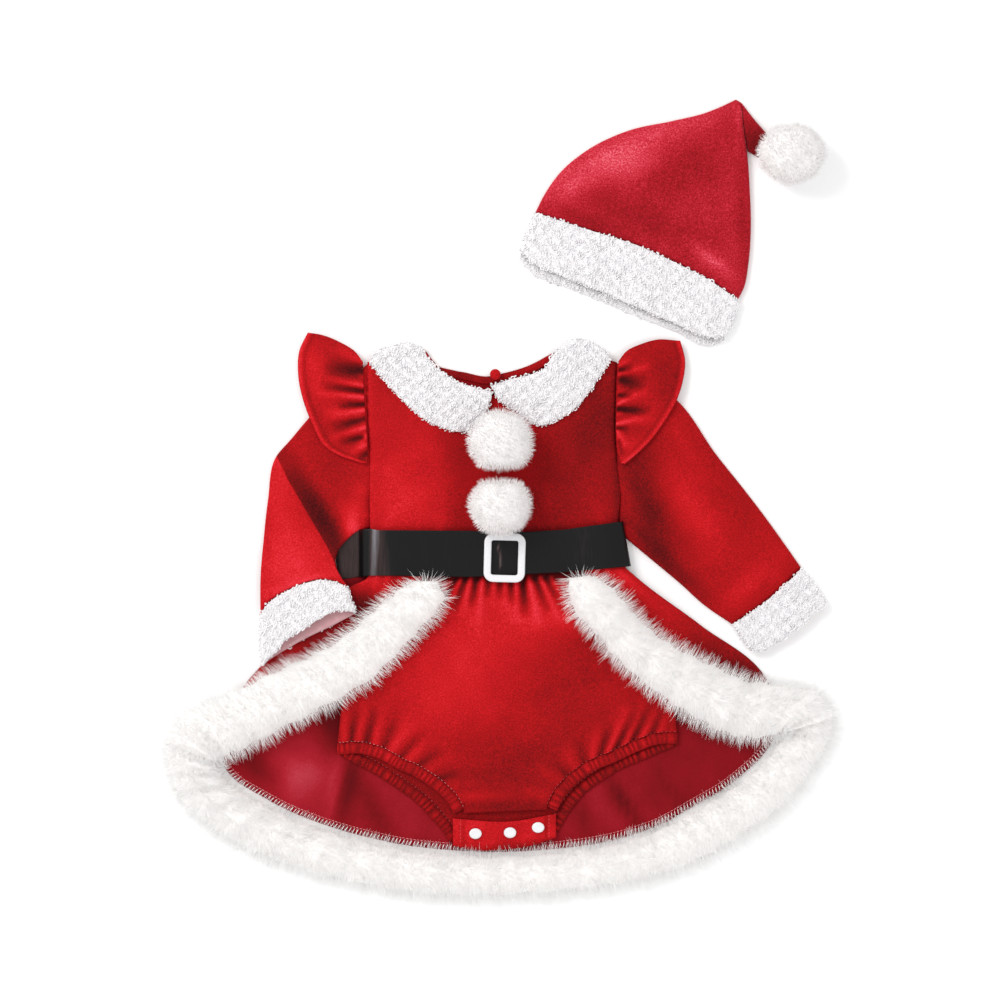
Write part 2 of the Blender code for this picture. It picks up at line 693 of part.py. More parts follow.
def clear_of_cloth(point, name):
    below = 0.0 if name == "hat_pompom" else lock_floor(point[0], point[1])
    return point[2] > below + GAP


# The pieces

def make_bodice():
    shares = (3, 6, 3)
    for name, neck, floor, cells in (
            ("bodice_back", BACK_NECK, bodice_back_floor, (12, 7)),
            ("bodice_front", FRONT_NECK, bodice_front_floor, (12, 10))):
        high = chain((line(BODICE_LEFT[-1], neck[0]), smooth(neck), line(neck[-1], BODICE_RIGHT[-1])), shares)
        plan = patch(smooth(BODICE_LEFT), smooth(BODICE_RIGHT), line(BODICE_LEFT[0], BODICE_RIGHT[0]), high)
        sheet(name, plan, *cells, lambda x, y, u, v, floor=floor: floor(x, y), "velvet")


def make_neck():
    neck = smooth(BACK_NECK[1:-1])
    upper = beside(neck, -BINDING_INSET)
    lower = beside(neck, -BINDING_INSET - BINDING_WIDTH)
    plan = patch(line(lower(0), upper(0)), line(lower(1), upper(1)), lower, upper)
    sheet("neck_binding", plan, 16, 1, lambda x, y, u, v: CLOTH + GAP, "velvet", wall=BINDING_WALL)
    x, y, radius, half_height, base = NECK_BUTTON
    shape = bmesh.new()
    bmesh.ops.create_icosphere(shape, subdivisions=2, radius=1.0)
    for vert in shape.verts:
        unit = vert.co.copy()
        vert.co = place(x + unit.x * radius, y + unit.y * radius, base + half_height * (1 + unit.z))
    add_object("neck_button", shape, "velvet")


def make_collar():
    for name, edges in (("collar_left", COLLAR_LEFT), ("collar_right", COLLAR_RIGHT)):
        plan = patch(smooth(edges["left end"]), smooth(edges["right end"]), smooth(edges["outer"]),
                     smooth(edges["inner"]))
        sheet(name, plan, 14, 4, lambda x, y, u, v: bodice_front_top(x, y) + GAP, "sherpa", wall=COLLAR_WALL,
              fullness=lambda u, v: COLLAR_EDGE + (1 - COLLAR_EDGE) * math.sin(math.pi * v) ** 0.6)


def make_sleeves():
    tube("sleeve_left", SLEEVE_LEFT, 12, (10, 3), left_arm_floor, left_arm_height, "velvet")
    tube("sleeve_right", SLEEVE_RIGHT, 11, (8, 3), lambda x, y: 0.0, right_arm_height, "velvet")
    tube("cuff_left", CUFF_LEFT, 3, (10, 3), left_arm_floor, lambda x, y: CUFF_HEIGHT, "sherpa", wall=SHERPA)
    tube("cuff_right", CUFF_RIGHT, 3, (8, 3), lambda x, y: 0.0, lambda x, y: CUFF_HEIGHT, "sherpa", wall=SHERPA)


def make_ruffles():
    """Gathered flounces along the armholes; they droop past the sleeve's upper edge."""
    rows = (("ruffle_left", RUFFLE_LEFT, left_arm_height, (-114, 116), (-0.69, 0.72), False),
            ("ruffle_right", RUFFLE_RIGHT, right_arm_height, (99, 117), (0.53, 0.85), True))
    for name, edges, sleeve_top, corner, outward, seam_on_left in rows:
        plan = patch(smooth(edges["left"]), smooth(edges["right"]), smooth(edges["low"]), smooth(edges["high"]))

        def floor(x, y, u, v, sleeve_top=sleeve_top, corner=corner, outward=outward, seam_on_left=seam_on_left):
            from_seam = u if seam_on_left else 1 - u
            past = (x - corner[0]) * outward[0] + (y - corner[1]) * outward[1]
            gathers = wave(RUFFLE_GATHERS, v) * (RUFFLE_WAVE - RUFFLE_EASE * from_seam)
            return sleeve_top(x, y) + GAP + 0.15 + gathers - RUFFLE_DROOP * smoothstep(8, 42, past)

        sheet(name, plan, 4, RUFFLE_GATHERS * 3, floor, "velvet")


def make_belt():
    """A closed loop of ribbon round the waist, pressed flat."""
    loop = len(BELT_LOOP)
    rows = np.array(BELT_EDGES, dtype=float)
    shape = bmesh.new()
    bmesh.ops.create_grid(shape, x_segments=loop, y_segments=2, size=0.5)
    for vert in shape.verts:
        x, z = BELT_LOOP[round((vert.co.x + 0.5) * loop) % loop]
        v = vert.co.y + 0.5
        lower = np.interp(x, rows[:, 0], rows[:, 2])
        upper = np.interp(x, rows[:, 0], rows[:, 1])
        skew = BELT_SKEW * (1 - v) * smoothstep(60, 104, x)
        vert.co = place(x + skew, lower + (upper - lower) * v, z)
    bmesh.ops.remove_doubles(shape, verts=shape.verts, dist=1e-6)
    shape.normal_update()
    front = max(shape.faces, key=lambda face: face.calc_center_median().z)
    if front.normal.z < 0:
        bmesh.ops.reverse_faces(shape, faces=shape.faces)
    thicken(add_object("belt", shape, "satin"), RIBBON, -1.0)


def rounded_box(width, length, radius):
    """Corner points of a rectangle with round corners."""
    points = []
    for corner, (sign_x, sign_y) in enumerate(((1, 1), (-1, 1), (-1, -1), (1, -1))):
        for step in range(5):
            angle = math.pi / 2 * (corner + step / 4)
            points.append((sign_x * (width / 2 - radius) + radius * math.cos(angle),
                           sign_y * (length / 2 - radius) + radius * math.sin(angle)))
    return points


def make_buckle():
    """A moulded frame, cut from its outline with the window left open."""
    width, length, thick = BUCKLE_SIZE
    outline = bpy.data.curves.new("buckle", "CURVE")
    outline.dimensions = "2D"
    outline.fill_mode = "BOTH"
    outline.extrude = thick * MM / 2
    for points in (rounded_box(width, length, 7.0),
                   rounded_box(width - 2 * BUCKLE_BAR, length - 2 * BUCKLE_BAR, 2.5)):
        spline = outline.splines.new("POLY")
        spline.points.add(len(points) - 1)
        for knot, (x, y) in zip(spline.points, points):
            knot.co = (x * MM, y * MM, 0.0, 1.0)
        spline.use_cyclic_u = True
    piece = bpy.data.objects.new("buckle", outline)
    bpy.data.collections["romper_set"].objects.link(piece)
    outline.materials.append(finish("plastic"))
    piece.location = place(*BUCKLE_CENTRE, BELT_TOP + GAP + thick / 2)
    piece.rotation_euler = (0.0, 0.0, BUCKLE_TILT)


def bloomer_plan(leg_left, leg_right, crotch, shares):
    """From the waist down to the inner edges of the two leg casings and the crotch seam."""
    inner_left = beside(smooth(leg_left), CASING + SEAM)
    inner_right = beside(smooth(leg_right), CASING + SEAM)
    low = chain((inner_left, line(inner_left(1), crotch[0]), line(*crotch), line(crotch[1], inner_right(0)),
                 inner_right), shares)
    left = smooth([tuple(low(0))] + [(row[1], row[0]) for row in BLOOMER_SIDES[1:]])
    right = smooth([tuple(low(1))] + [(row[2], row[0]) for row in BLOOMER_SIDES[1:]])
    return patch(left, right, low, line(left(1), right(1)))


def make_bloomer():
    front = bloomer_plan(LEG_FRONT_LEFT, LEG_FRONT_RIGHT, ((-31, -265.5), (40, -262.5)), (13, 1, 8, 1, 13))
    back = bloomer_plan(LEG_BACK_LEFT, LEG_BACK_RIGHT, ((-32, -291.5), (40, -283.5)), (10, 1, 4, 1, 10))

    def front_floor(x, y, u, v):
        gathers = WAIST_WAVE * wave(WAIST_GATHERS, u) * smoothstep(-150, -66, y)
        return bloomer_front_floor(x, y) + gathers

    sheet("bloomer_front", front, 36, 9, front_floor, "velvet")
    sheet("bloomer_back", back, 26, 6, lambda x, y, u, v: bloomer_back_floor(x, y), "velvet")
    casings = (("leg_casing_front_left", LEG_FRONT_LEFT, bloomer_front_floor),
               ("leg_casing_front_right", LEG_FRONT_RIGHT, bloomer_front_floor),
               ("leg_casing_back_left", LEG_BACK_LEFT, bloomer_back_floor),
               ("leg_casing_back_right", LEG_BACK_RIGHT, bloomer_back_floor))
    for name, edge, height in casings:
        low = smooth(edge)
        high = beside(low, CASING)
        plan = patch(line(low(0), high(0)), line(low(1), high(1)), low, high)
        sheet(name, plan, LEG_GATHERS * 3, 1,
              lambda x, y, u, v, height=height: height(x, y) + CASING_WAVE * wave(LEG_GATHERS, u), "velvet")


def make_crotch():
    """The folded placket at the crotch with its three snaps."""
    edges = PLACKET
    plan = patch(smooth(edges["left"]), smooth(edges["right"]), smooth(edges["low"]), smooth(edges["high"]))
    sheet("crotch_placket", plan, 8, 2, lambda x, y, u, v: bloomer_back_top(x, y) + PLACKET_RISE, "velvet",
          wall=PLACKET_WALL)
    for name, x, y in SNAPS:
        shape = bmesh.new()
        bmesh.ops.create_cone(shape, cap_ends=True, segments=16, radius1=SNAP_RADIUS, radius2=SNAP_RADIUS - 1.2,
                              depth=SNAP_HEIGHT)
        base = bloomer_back_top(x, y) + PLACKET_RISE + PLACKET_WALL + GAP
        for vert in shape.verts:
            vert.co = place(x + vert.co.x, y + vert.co.y, base + vert.co.z + SNAP_HEIGHT / 2)
        add_object(name, shape, "plastic")


def closer_at_waist(plan):
    """Rows stand closer together towards the waist."""
    return lambda u, v: plan(u, 1 - (1 - v) ** 1.6)


def make_skirt():
    at = fur_curves()
    first, last = HEM_ROWS
    hem = beside(lambda t: at(first + FUR_TRIM + (last - first - 2 * FUR_TRIM) * t)[:2], SEAM)
    back = closer_at_waist(patch(smooth(SKIRT_LEFT), smooth(SKIRT_RIGHT), hem,
                                 line(SKIRT_LEFT[-1], SKIRT_RIGHT[-1])))
    sheet("skirt_back", back, 26, 8, lambda x, y, u, v: skirt_back_floor(x, y), "velvet")
    for name, edges in (("skirt_front_left", SKIRT_FRONT_LEFT), ("skirt_front_right", SKIRT_FRONT_RIGHT)):
        left = smooth(edges["left"])
        right = smooth(edges["right"])
        plan = closer_at_waist(patch(left, right, line(left(0), right(0)), line(left(1), right(1))))

        def floor(x, y, u, v):
            return skirt_front_floor(x, y) + SKIRT_WAVE * wave(SKIRT_GATHERS, u) * smoothstep(-110, -70, y)

        sheet(name, plan, SKIRT_GATHERS * 3, 9, floor, "velvet")


def make_fur():
    for row in FUR_STRETCHES:
        fur_stretch(*row)
    for row in POMPOMS:
        pompom(*row)


def make_hat():
    def crown_height(x, y):
        return CROWN_HEIGHT - CROWN_DROP * smoothstep(290, 338, y) + folds(x, y, CROWN_FOLDS)

    tube("hat_crown", HAT_CROWN, 9, (9, 3), lambda x, y: 0.0, crown_height, "velvet_hat")
    tube("hat_tip", HAT_TIP, 3, (4, 2), lambda x, y: 0.0,
         lambda x, y: TIP_HEIGHT + TIP_RISE * smoothstep(209, 224, x), "velvet_hat", wall=TIP_WALL)
    tube("hat_brim", HAT_BRIM, 3, (9, 3), lambda x, y: 0.0, lambda x, y: BRIM_HEIGHT, "sherpa", wall=SHERPA)


def clear_scene():
    for piece in list(bpy.data.objects):
        bpy.data.objects.remove(piece)
    collection = bpy.data.collections.new("romper_set")
    bpy.context.scene.collection.children.link(collection)


clear_scene()
make_bodice()
make_neck()
make_collar()
make_sleeves()
make_ruffles()
make_belt()
make_buckle()
make_bloomer()
make_crotch()
make_skirt()
make_fur()
make_hat()
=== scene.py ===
import json
import math

import bmesh
import bpy
import numpy as np
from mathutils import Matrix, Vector

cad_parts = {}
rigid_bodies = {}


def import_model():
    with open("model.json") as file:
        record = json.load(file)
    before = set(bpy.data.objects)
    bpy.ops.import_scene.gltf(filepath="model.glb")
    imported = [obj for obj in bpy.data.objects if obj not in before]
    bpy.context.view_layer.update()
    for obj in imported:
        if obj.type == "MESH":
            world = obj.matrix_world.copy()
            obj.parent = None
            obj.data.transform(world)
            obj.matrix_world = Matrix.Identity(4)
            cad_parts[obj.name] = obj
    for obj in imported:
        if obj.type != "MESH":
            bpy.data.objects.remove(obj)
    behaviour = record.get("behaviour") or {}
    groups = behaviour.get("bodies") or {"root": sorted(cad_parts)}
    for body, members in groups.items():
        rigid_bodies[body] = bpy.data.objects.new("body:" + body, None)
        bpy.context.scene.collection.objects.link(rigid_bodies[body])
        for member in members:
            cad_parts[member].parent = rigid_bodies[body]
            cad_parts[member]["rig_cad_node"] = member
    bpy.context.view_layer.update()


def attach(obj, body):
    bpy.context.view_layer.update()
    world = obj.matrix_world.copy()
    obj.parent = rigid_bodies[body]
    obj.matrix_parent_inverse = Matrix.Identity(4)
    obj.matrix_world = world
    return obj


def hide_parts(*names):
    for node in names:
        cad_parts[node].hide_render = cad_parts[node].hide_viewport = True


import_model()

# Tables are in millimetres on the table the set lies on, +y towards the collar.
mm = 0.001
centreX = -0.8
centreY = -0.2
cloth = 1.1       # velvet wall
tubeCloth = 1.2   # velvet wall of sleeves and hat
sherpaWall = 2.7
ribbonWall = 1.0
gap = 0.45        # clearance between layers
beltTop = 11.3    # face of the belt's front stretch
layers = {
    "bodiceLift": 3.7,     # underside of the bodice front
    "backPuff": 3.1,       # how far the bloomer back lofts
    "frontPuff": 2.4,      # how far the bloomer front lofts over the back
    "legRise": 1.6,        # room for the back casing's gathers under the front
    "skirtLift": 0.2,      # a skirt front over the bloomer
    "skirtWaist": 0.9,     # its lift at the waist
    "waistGathers": 0.8,   # room for its gathers there
    "armFlat": 3.1,        # left sleeve where one layer lies on the other
    "armFull": 1.9,        # how much taller it is at its root
    "forearm": 5.2,        # left sleeve past its fold
    "rightArm": 4.9,
    "cuff": 8.4,
    "brim": 9.0,
    "crown": 5.4,
    "crownDrop": 2.0,      # how much thinner the crown is at its peak
    "tip": 4.0,
    "tipRise": 3.4,        # lift of the tip under its pompom
    "placket": 4.2,        # face of the crotch placket over the bloomer back
}


# Curves and patches

def smoothstep(low, high, value):
    t = np.clip((value - low) / (high - low), 0.0, 1.0)
    return t * t * (3.0 - 2.0 * t)


def asRow(values):
    return np.atleast_1d(np.asarray(values, dtype=float))


def blend(knots, slopes, i, s, span=1.0):
    # the cubic between knot i and the next, at share s
    return ((2 * s ** 3 - 3 * s ** 2 + 1) * knots[i] + (3 * s ** 2 - 2 * s ** 3) * knots[i + 1]
            + span * ((s ** 3 - 2 * s ** 2 + s) * slopes[i] + (s ** 3 - s ** 2) * slopes[i + 1]))


def curve(points):
    # a smooth curve through the points, as a function of an array of 0 to 1
    knots = np.array(points, dtype=float)
    steps = np.linalg.norm(np.diff(knots, axis=0), axis=1)
    marks = np.concatenate([[0.0], np.cumsum(steps)]) / steps.sum()
    slopes = np.gradient(knots, marks, axis=0)

    def at(t):
        t = asRow(t)
        i = np.clip(np.searchsorted(marks, t) - 1, 0, len(knots) - 2)
        span = (marks[i + 1] - marks[i])[:, None]
        return blend(knots, slopes, i, (t - marks[i])[:, None] / span, span)

    return at


def chain(curves, shares):
    # curves end to end, each over its share
    marks = np.concatenate([[0.0], np.cumsum(shares)]) / sum(shares)

    def at(t):
        t = asRow(t)
        i = np.clip(np.searchsorted(marks, t - 1e-6) - 1, 0, len(curves) - 1)
        result = np.zeros((len(t), 2))
        for k, part in enumerate(curves):
            mine = i == k
            if mine.any():
                result[mine] = part((t[mine] - marks[k]) / (marks[k + 1] - marks[k]))
        return result

    return at


def beside(line, distance):
    # the curve moved to its left
    def at(t):
        t = asRow(t)
        run = line(np.minimum(t + 0.01, 1.0)) - line(np.maximum(t - 0.01, 0.0))
        run /= np.linalg.norm(run, axis=1)[:, None]
        return line(t) + np.stack([-run[:, 1], run[:, 0]], axis=1) * distance

    return at


def straight(start, end):
    return curve([start, end])


def patch(left, right, low, high, us, vs):
    # plan points between four edges, shape (across, along, 2)
    u = us[:, None, None]
    v = vs[None, :, None]
    lowEdge = low(us)[:, None, :]
    highEdge = high(us)[:, None, :]
    ruled = left(vs)[None] * (1 - u) + right(vs)[None] * u + lowEdge * (1 - v) + highEdge * v
    lowEnds = low([0.0, 1.0])
    highEnds = high([0.0, 1.0])
    corners = ((lowEnds[0] * (1 - u) + lowEnds[1] * u) * (1 - v)
               + (highEnds[0] * (1 - u) + highEnds[1] * u) * v)
    return ruled - corners


def panel(edges, us, vs):
    return patch(*(curve(edges[side]) for side in ("left", "right", "low", "high")), us, vs)


def gridLines(count, roll=0.012):
    # even lines with two more near each edge, where the cloth turns over
    inner = np.linspace(roll * 2.2, 1 - roll * 2.2, count - 3)
    return np.concatenate([[0.0, roll], inner, [1 - roll, 1.0]])


def nearRun(x, y, x0, y0, x1, y1):
    # share along a straight run, and the squared distance from it
    runX = x1 - x0
    runY = y1 - y0
    t = np.clip(((x - x0) * runX + (y - y0) * runY) / (runX ** 2 + runY ** 2), 0.0, 1.0)
    return t, (x - x0 - t * runX) ** 2 + (y - y0 - t * runY) ** 2


def folds(x, y, table):
    # long soft ridges: x0, y0, x1, y1, half width, height
    height = np.zeros_like(x)
    for x0, y0, x1, y1, width, rise in table:
        height += rise * np.exp(-nearRun(x, y, x0, y0, x1, y1)[1] / width ** 2)
    return height


def gathers(x, y, table):
    # creases that start at a seam and fade: x0, y0, x1, y1, start width, end width, height
    height = np.zeros_like(x)
    for x0, y0, x1, y1, startWidth, endWidth, rise in table:
        t, away = nearRun(x, y, x0, y0, x1, y1)
        width = startWidth + (endWidth - startWidth) * t
        height += rise * (1 - t) ** 0.7 * np.exp(-away / width ** 2)
    return height


def paintedLightAndShade(x, y, table):
    # painted light and shade in soft patches: x, y, half length, half width, degrees, amount
    tone = np.zeros_like(x)
    for x0, y0, length, width, degrees, amount in table:
        c = math.cos(math.radians(degrees))
        s = math.sin(math.radians(degrees))
        along = ((x - x0) * c + (y - y0) * s) / length
        across = (-(x - x0) * s + (y - y0) * c) / width
        tone += amount * np.exp(-along ** 2 - across ** 2)
    return tone


def sideOf(path, x, y):
    # distance to a path, positive on its left
    best = np.full_like(x, 1e9)
    for (x0, y0), (x1, y1) in zip(path, path[1:]):
        away = np.sqrt(nearRun(x, y, x0, y0, x1, y1)[1])
        turn = (x1 - x0) * (y - y0) - (y1 - y0) * (x - x0)
        best = np.where(away < np.abs(best), np.copysign(away, turn), best)
    return best


def bell(value, middle, width):
    return np.exp(-((value - middle) / width) ** 2)


def toneWithPaintedLight(x, y, piece):
    # the tone on a laid piece: its own, its patches of painted light and shade, and painted light on the crests of its
    # creases
    return (piece["tone"] + paintedLightAndShade(x, y, piece["paintedLightAndShade"])
            + piece["paintedCreaseLight"] * gathers(x, y, piece["creases"]))


def ripple(x, y, seed):
    # slow unevenness of laid cloth, about 1 at most
    a, b, c = 0.9 * seed + 0.3, 1.7 * seed + 1.1, 2.3 * seed + 2.0
    return (0.4 * np.sin(x * 0.031 + y * 0.017 + a) + 0.35 * np.sin(-x * 0.019 + y * 0.043 + b)
            + 0.25 * np.sin(x * 0.067 - y * 0.051 + c))


# Heights of the layers, as the frame has them

bloomerSides = np.array([(-208, -135.5, 149.5), (-170, -134, 147), (-128, -128, 136), (-94, -119, 121),
                         (-68, -111, 110), (-57, -109.5, 106), (-46, -109.5, 104.5)])
bodiceFolds = [(-96, 20, -70, -30, 9, 0.7), (70, 30, 88, -24, 10, 0.7), (-40, -8, -46, -40, 8, 0.5)]
bloomerFolds = [(-126, -205, -84, -166, 8, 1.2), (-96, -212, -66, -168, 7, 1.0), (-62, -232, -36, -190, 7, 1.0),
                (138, -196, 96, -160, 8, 1.2), (104, -210, 78, -168, 7, 1.0), (70, -226, 52, -188, 7, 1.0)]
skirtFolds = [(-182, -258, -150, -190, 14, 2.2), (-134, -276, -118, -214, 12, 1.6),
              (-82, -290, -72, -262, 12, 1.4), (78, -292, 70, -262, 12, 1.4),
              (132, -274, 118, -216, 13, 1.8), (186, -246, 160, -186, 14, 2.2)]
sleeveRightFolds = [(114, -28, 186, -86, 9, 1.0), (150, 62, 214, -56, 16, 1.1), (112, 20, 138, -40, 12, 0.8)]
sleeveLeftFolds = [(-112, -12, -132, -30, 7, 0.9), (-184, 20, -172, -66, 15, 1.0)]
crownFolds = [(196, 180, 205, 330, 12, 1.0), (60, 250, 150, 310, 18, 0.8)]
sleeveCrease = [(-189, 36), (-180, 17), (-170, 0), (-159, -19), (-147, -39), (-138, -57), (-129, -73)]


def overBelt(y):
    return (ribbonWall + gap) * smoothstep(-115, -80, y) * (1 - smoothstep(-5, 15, y))


def bloomerReach(y):
    rows = bloomerSides
    return np.interp(y, rows[:, 0], rows[:, 1]), np.interp(y, rows[:, 0], rows[:, 2])


def frontLegLine(x):
    return np.interp(x, [-137, -38, 48, 150], [-216, -268, -265, -207])


def puff(x, y):
    left, right = bloomerReach(y)
    across = (2 * x - left - right) / (right - left)
    return (np.maximum(0.0, 1 - across ** 4) * smoothstep(-48, -125, y)
            * smoothstep(-25, 70, y - frontLegLine(x)))


def bodiceFrontTop(x, y):
    return layers["bodiceLift"] + cloth + overBelt(y) + folds(x, y, bodiceFolds)


def skirtBackTop(x, y):
    return overBelt(y) + folds(x, y, skirtFolds) * smoothstep(-185, -240, y) + cloth


def bloomerBackTop(x, y):
    return skirtBackTop(x, y) + gap + layers["backPuff"] * puff(x, y) + cloth


def bloomerFrontTop(x, y):
    rise = layers["legRise"] * smoothstep(60, 12, y - frontLegLine(x)) + layers["frontPuff"] * puff(x, y)
    return bloomerBackTop(x, y) + gap + rise + folds(x, y, bloomerFolds) + cloth


def skirtFrontFloor(x, y):
    left, right = bloomerReach(np.maximum(y, -214))
    beyond = np.maximum(np.maximum(left - x, x - right), 0.0)
    onBloomer = (bloomerFrontTop(x, y) + gap + layers["skirtLift"]
                 + layers["skirtWaist"] * smoothstep(-150, -80, y))
    onSkirt = skirtBackTop(x, y) + gap
    fall = smoothstep(4, 64, beyond)
    return onBloomer * (1 - fall) + onSkirt * fall


def skirtFrontTop(x, y):
    return skirtFrontFloor(x, y) + cloth + layers["waistGathers"] * smoothstep(-110, -70, y)


def leftArmFloor(x, y):
    return (skirtFrontTop(x, y) + gap) * smoothstep(-22, -62, y)


def leftArmHeight(x, y):
    onForearm = 1 - smoothstep(-9.0, 7.0, sideOf(sleeveCrease, x, y))
    root = smoothstep(-150, -114, x) * smoothstep(-20, 30, y)
    low = layers["armFlat"] + layers["armFull"] * np.maximum(root, smoothstep(30, 60, y))
    return low + (layers["forearm"] - low) * onForearm + folds(x, y, sleeveLeftFolds)


def rightArmHeight(x, y):
    return layers["rightArm"] + folds(x, y, sleeveRightFolds)


# Makers

def srgb(code):
    # an sRGB hex colour as linear values
    parts = [int(code[i:i + 2], 16) / 255 for i in (1, 3, 5)]
    return tuple(((c + 0.055) / 1.055) ** 2.4 if c > 0.04 else c / 12.92 for c in parts) + (1.0,)


def addNode(tree, kind, settings=None, inputs=None):
    # a node with its settings, values and links; stops are the colours of a ramp
    node = tree.nodes.new(kind)
    for name, value in (settings or {}).items():
        if name == "stops":
            elements = node.color_ramp.elements
            while len(elements) < len(value):
                elements.new(0.5)
            for element, (position, colour) in zip(elements, value):
                element.position = position
                element.color = srgb(colour)
        else:
            setattr(node, name, value)
    for name, value in (inputs or {}).items():
        if isinstance(value, bpy.types.Node):
            value = value.outputs[0]
        if isinstance(value, bpy.types.NodeSocket):
            tree.links.new(value, node.inputs[name])
        else:
            node.inputs[name].default_value = value
    return node


def newMaterial(name):
    material = bpy.data.materials.new(name)
    material.use_nodes = True
    tree = material.node_tree
    tree.nodes.clear()
    return material, tree, addNode(tree, "ShaderNodeTexCoord").outputs["Object"]


def finishMaterial(tree, shading):
    shader = addNode(tree, "ShaderNodeBsdfPrincipled", None, shading)
    addNode(tree, "ShaderNodeOutputMaterial", None, {"Surface": shader})


def makeVelvet(name, stops, speckle, sheen, sheenColour, roughness=0.8, paintFoldShadow=False):
    # stretch velvet: a short cut pile that looks pale where it stands towards the eye and
    # deep where it lies away; the nap's grain is drawn at 1.2 mm, the least that shows
    material, tree, place = newMaterial(name)
    # the tone attribute carries painted light and shade along with the cloth's own tone
    tone = addNode(tree, "ShaderNodeAttribute", {"attribute_name": "tone"}).outputs["Fac"]
    grain = addNode(tree, "ShaderNodeTexNoise", None,
                    {"Vector": place, "Scale": 820.0, "Detail": 2.0, "Roughness": 0.65})
    patches = addNode(tree, "ShaderNodeTexNoise", None,
                      {"Vector": place, "Scale": 38.0, "Detail": 3.0, "Roughness": 0.6})
    grained = addNode(tree, "ShaderNodeMath", {"operation": "MULTIPLY_ADD"},
                      {0: grain, 1: speckle, 2: -0.5 * speckle})
    uneven = addNode(tree, "ShaderNodeMath", {"operation": "MULTIPLY_ADD"}, {0: patches, 1: 0.22, 2: -0.11})
    toneAndGrain = addNode(tree, "ShaderNodeMath", {"operation": "ADD"}, {0: tone, 1: grained})
    total = addNode(tree, "ShaderNodeMath", {"operation": "ADD"}, {0: toneAndGrain, 1: uneven})
    if paintFoldShadow:
        # the attribute is the distance from the fold: the edge catches light and shades what lies behind it
        side = addNode(tree, "ShaderNodeAttribute", {"attribute_name": "side"}).outputs["Fac"]
        spread = addNode(tree, "ShaderNodeMapRange", None, {"Value": side, "From Min": -10.0, "From Max": 20.0})
        shadow = addNode(tree, "ShaderNodeValToRGB", {"stops": foldLightShadowStops}, {0: spread})
        shift = addNode(tree, "ShaderNodeMath", {"operation": "SUBTRACT"}, {0: shadow, 1: 0.24})
        total = addNode(tree, "ShaderNodeMath", {"operation": "ADD"}, {0: total, 1: shift})
    bump = addNode(tree, "ShaderNodeBump", None, {"Height": grain, "Strength": 0.5, "Distance": 0.0004})
    finishMaterial(tree, {"Base Color": addNode(tree, "ShaderNodeValToRGB", {"stops": stops}, {0: total}),
                          "Roughness": roughness, "Specular IOR Level": 0.12, "Sheen Weight": sheen,
                          "Sheen Roughness": 0.42, "Sheen Tint": srgb(sheenColour), "Normal": bump})
    return material


def makePile(name, stops, roughness, scale, strength, glow=0.0):
    # white pile: the attribute says how deep in the pile a place lies, from 0 at the backing, and deep places are
    # painted darker as painted shade;
    # glow stands for the light that fine white hairs pass on to each other
    material, tree, place = newMaterial(name)
    pileDepthShade = addNode(tree, "ShaderNodeAttribute", {"attribute_name": "tone"}).outputs["Fac"]
    clumps = addNode(tree, "ShaderNodeTexNoise", None,
                     {"Vector": place, "Scale": scale, "Detail": 3.0, "Roughness": 0.6})
    shade = addNode(tree, "ShaderNodeMath", {"operation": "MULTIPLY_ADD"}, {0: clumps, 1: 0.5, 2: -0.25})
    total = addNode(tree, "ShaderNodeMath", {"operation": "ADD"}, {0: pileDepthShade, 1: shade})
    bump = addNode(tree, "ShaderNodeBump", None, {"Height": clumps, "Strength": strength, "Distance": 0.0012})
    finishMaterial(tree, {"Base Color": addNode(tree, "ShaderNodeValToRGB", {"stops": stops}, {0: total}),
                          "Roughness": roughness, "Specular IOR Level": 0.2, "Sheen Weight": 0.4,
                          "Sheen Roughness": 0.6, "Emission Color": (1.0, 0.985, 0.975, 1.0),
                          "Emission Strength": glow, "Normal": bump})
    return material


def makeSatin():
    # woven satin ribbon: floats along its length give a broad soft gloss; its turned stretch is brown
    material, tree, place = newMaterial("satinRibbon")
    tone = addNode(tree, "ShaderNodeAttribute", {"attribute_name": "tone"}).outputs["Fac"]
    stretched = addNode(tree, "ShaderNodeMapping", None, {"Vector": place, "Scale": (900.0, 60.0, 60.0)})
    ribs = addNode(tree, "ShaderNodeTexNoise", None, {"Vector": stretched, "Scale": 1.0, "Detail": 3.0})
    shade = addNode(tree, "ShaderNodeMath", {"operation": "MULTIPLY_ADD"}, {0: ribs, 1: 0.24, 2: -0.12})
    total = addNode(tree, "ShaderNodeMath", {"operation": "ADD"}, {0: tone, 1: shade})
    bump = addNode(tree, "ShaderNodeBump", None, {"Height": ribs, "Strength": 0.25, "Distance": 0.0002})
    finishMaterial(tree, {"Base Color": addNode(tree, "ShaderNodeValToRGB", {"stops": satinStops}, {0: total}),
                          "Roughness": 0.42, "Specular IOR Level": 0.2, "Normal": bump})
    return material


def makePlastic(name, colour, roughness):
    # moulded plastic: a fine mould texture, 0.5 mm, under a soft gloss
    material, tree, place = newMaterial(name)
    grain = addNode(tree, "ShaderNodeTexNoise", None, {"Vector": place, "Scale": 2000.0, "Detail": 1.0})
    tint = addNode(tree, "ShaderNodeValToRGB", {"stops": [(0.3, colour), (0.7, "#ececee")]}, {0: grain})
    bump = addNode(tree, "ShaderNodeBump", None, {"Height": grain, "Strength": 0.12, "Distance": 0.0001})
    finishMaterial(tree, {"Base Color": tint, "Roughness": roughness, "IOR": 1.49, "Normal": bump})
    return material


def makeThread(name, low, high):
    # spun sewing thread: slightly uneven in colour along its length
    material, tree, place = newMaterial(name)
    grain = addNode(tree, "ShaderNodeTexNoise", None, {"Vector": place, "Scale": 420.0, "Detail": 2.0})
    tint = addNode(tree, "ShaderNodeValToRGB", {"stops": [(0.35, low), (0.65, high)]}, {0: grain})
    finishMaterial(tree, {"Base Color": tint, "Roughness": 0.7, "Sheen Weight": 0.3})
    return material
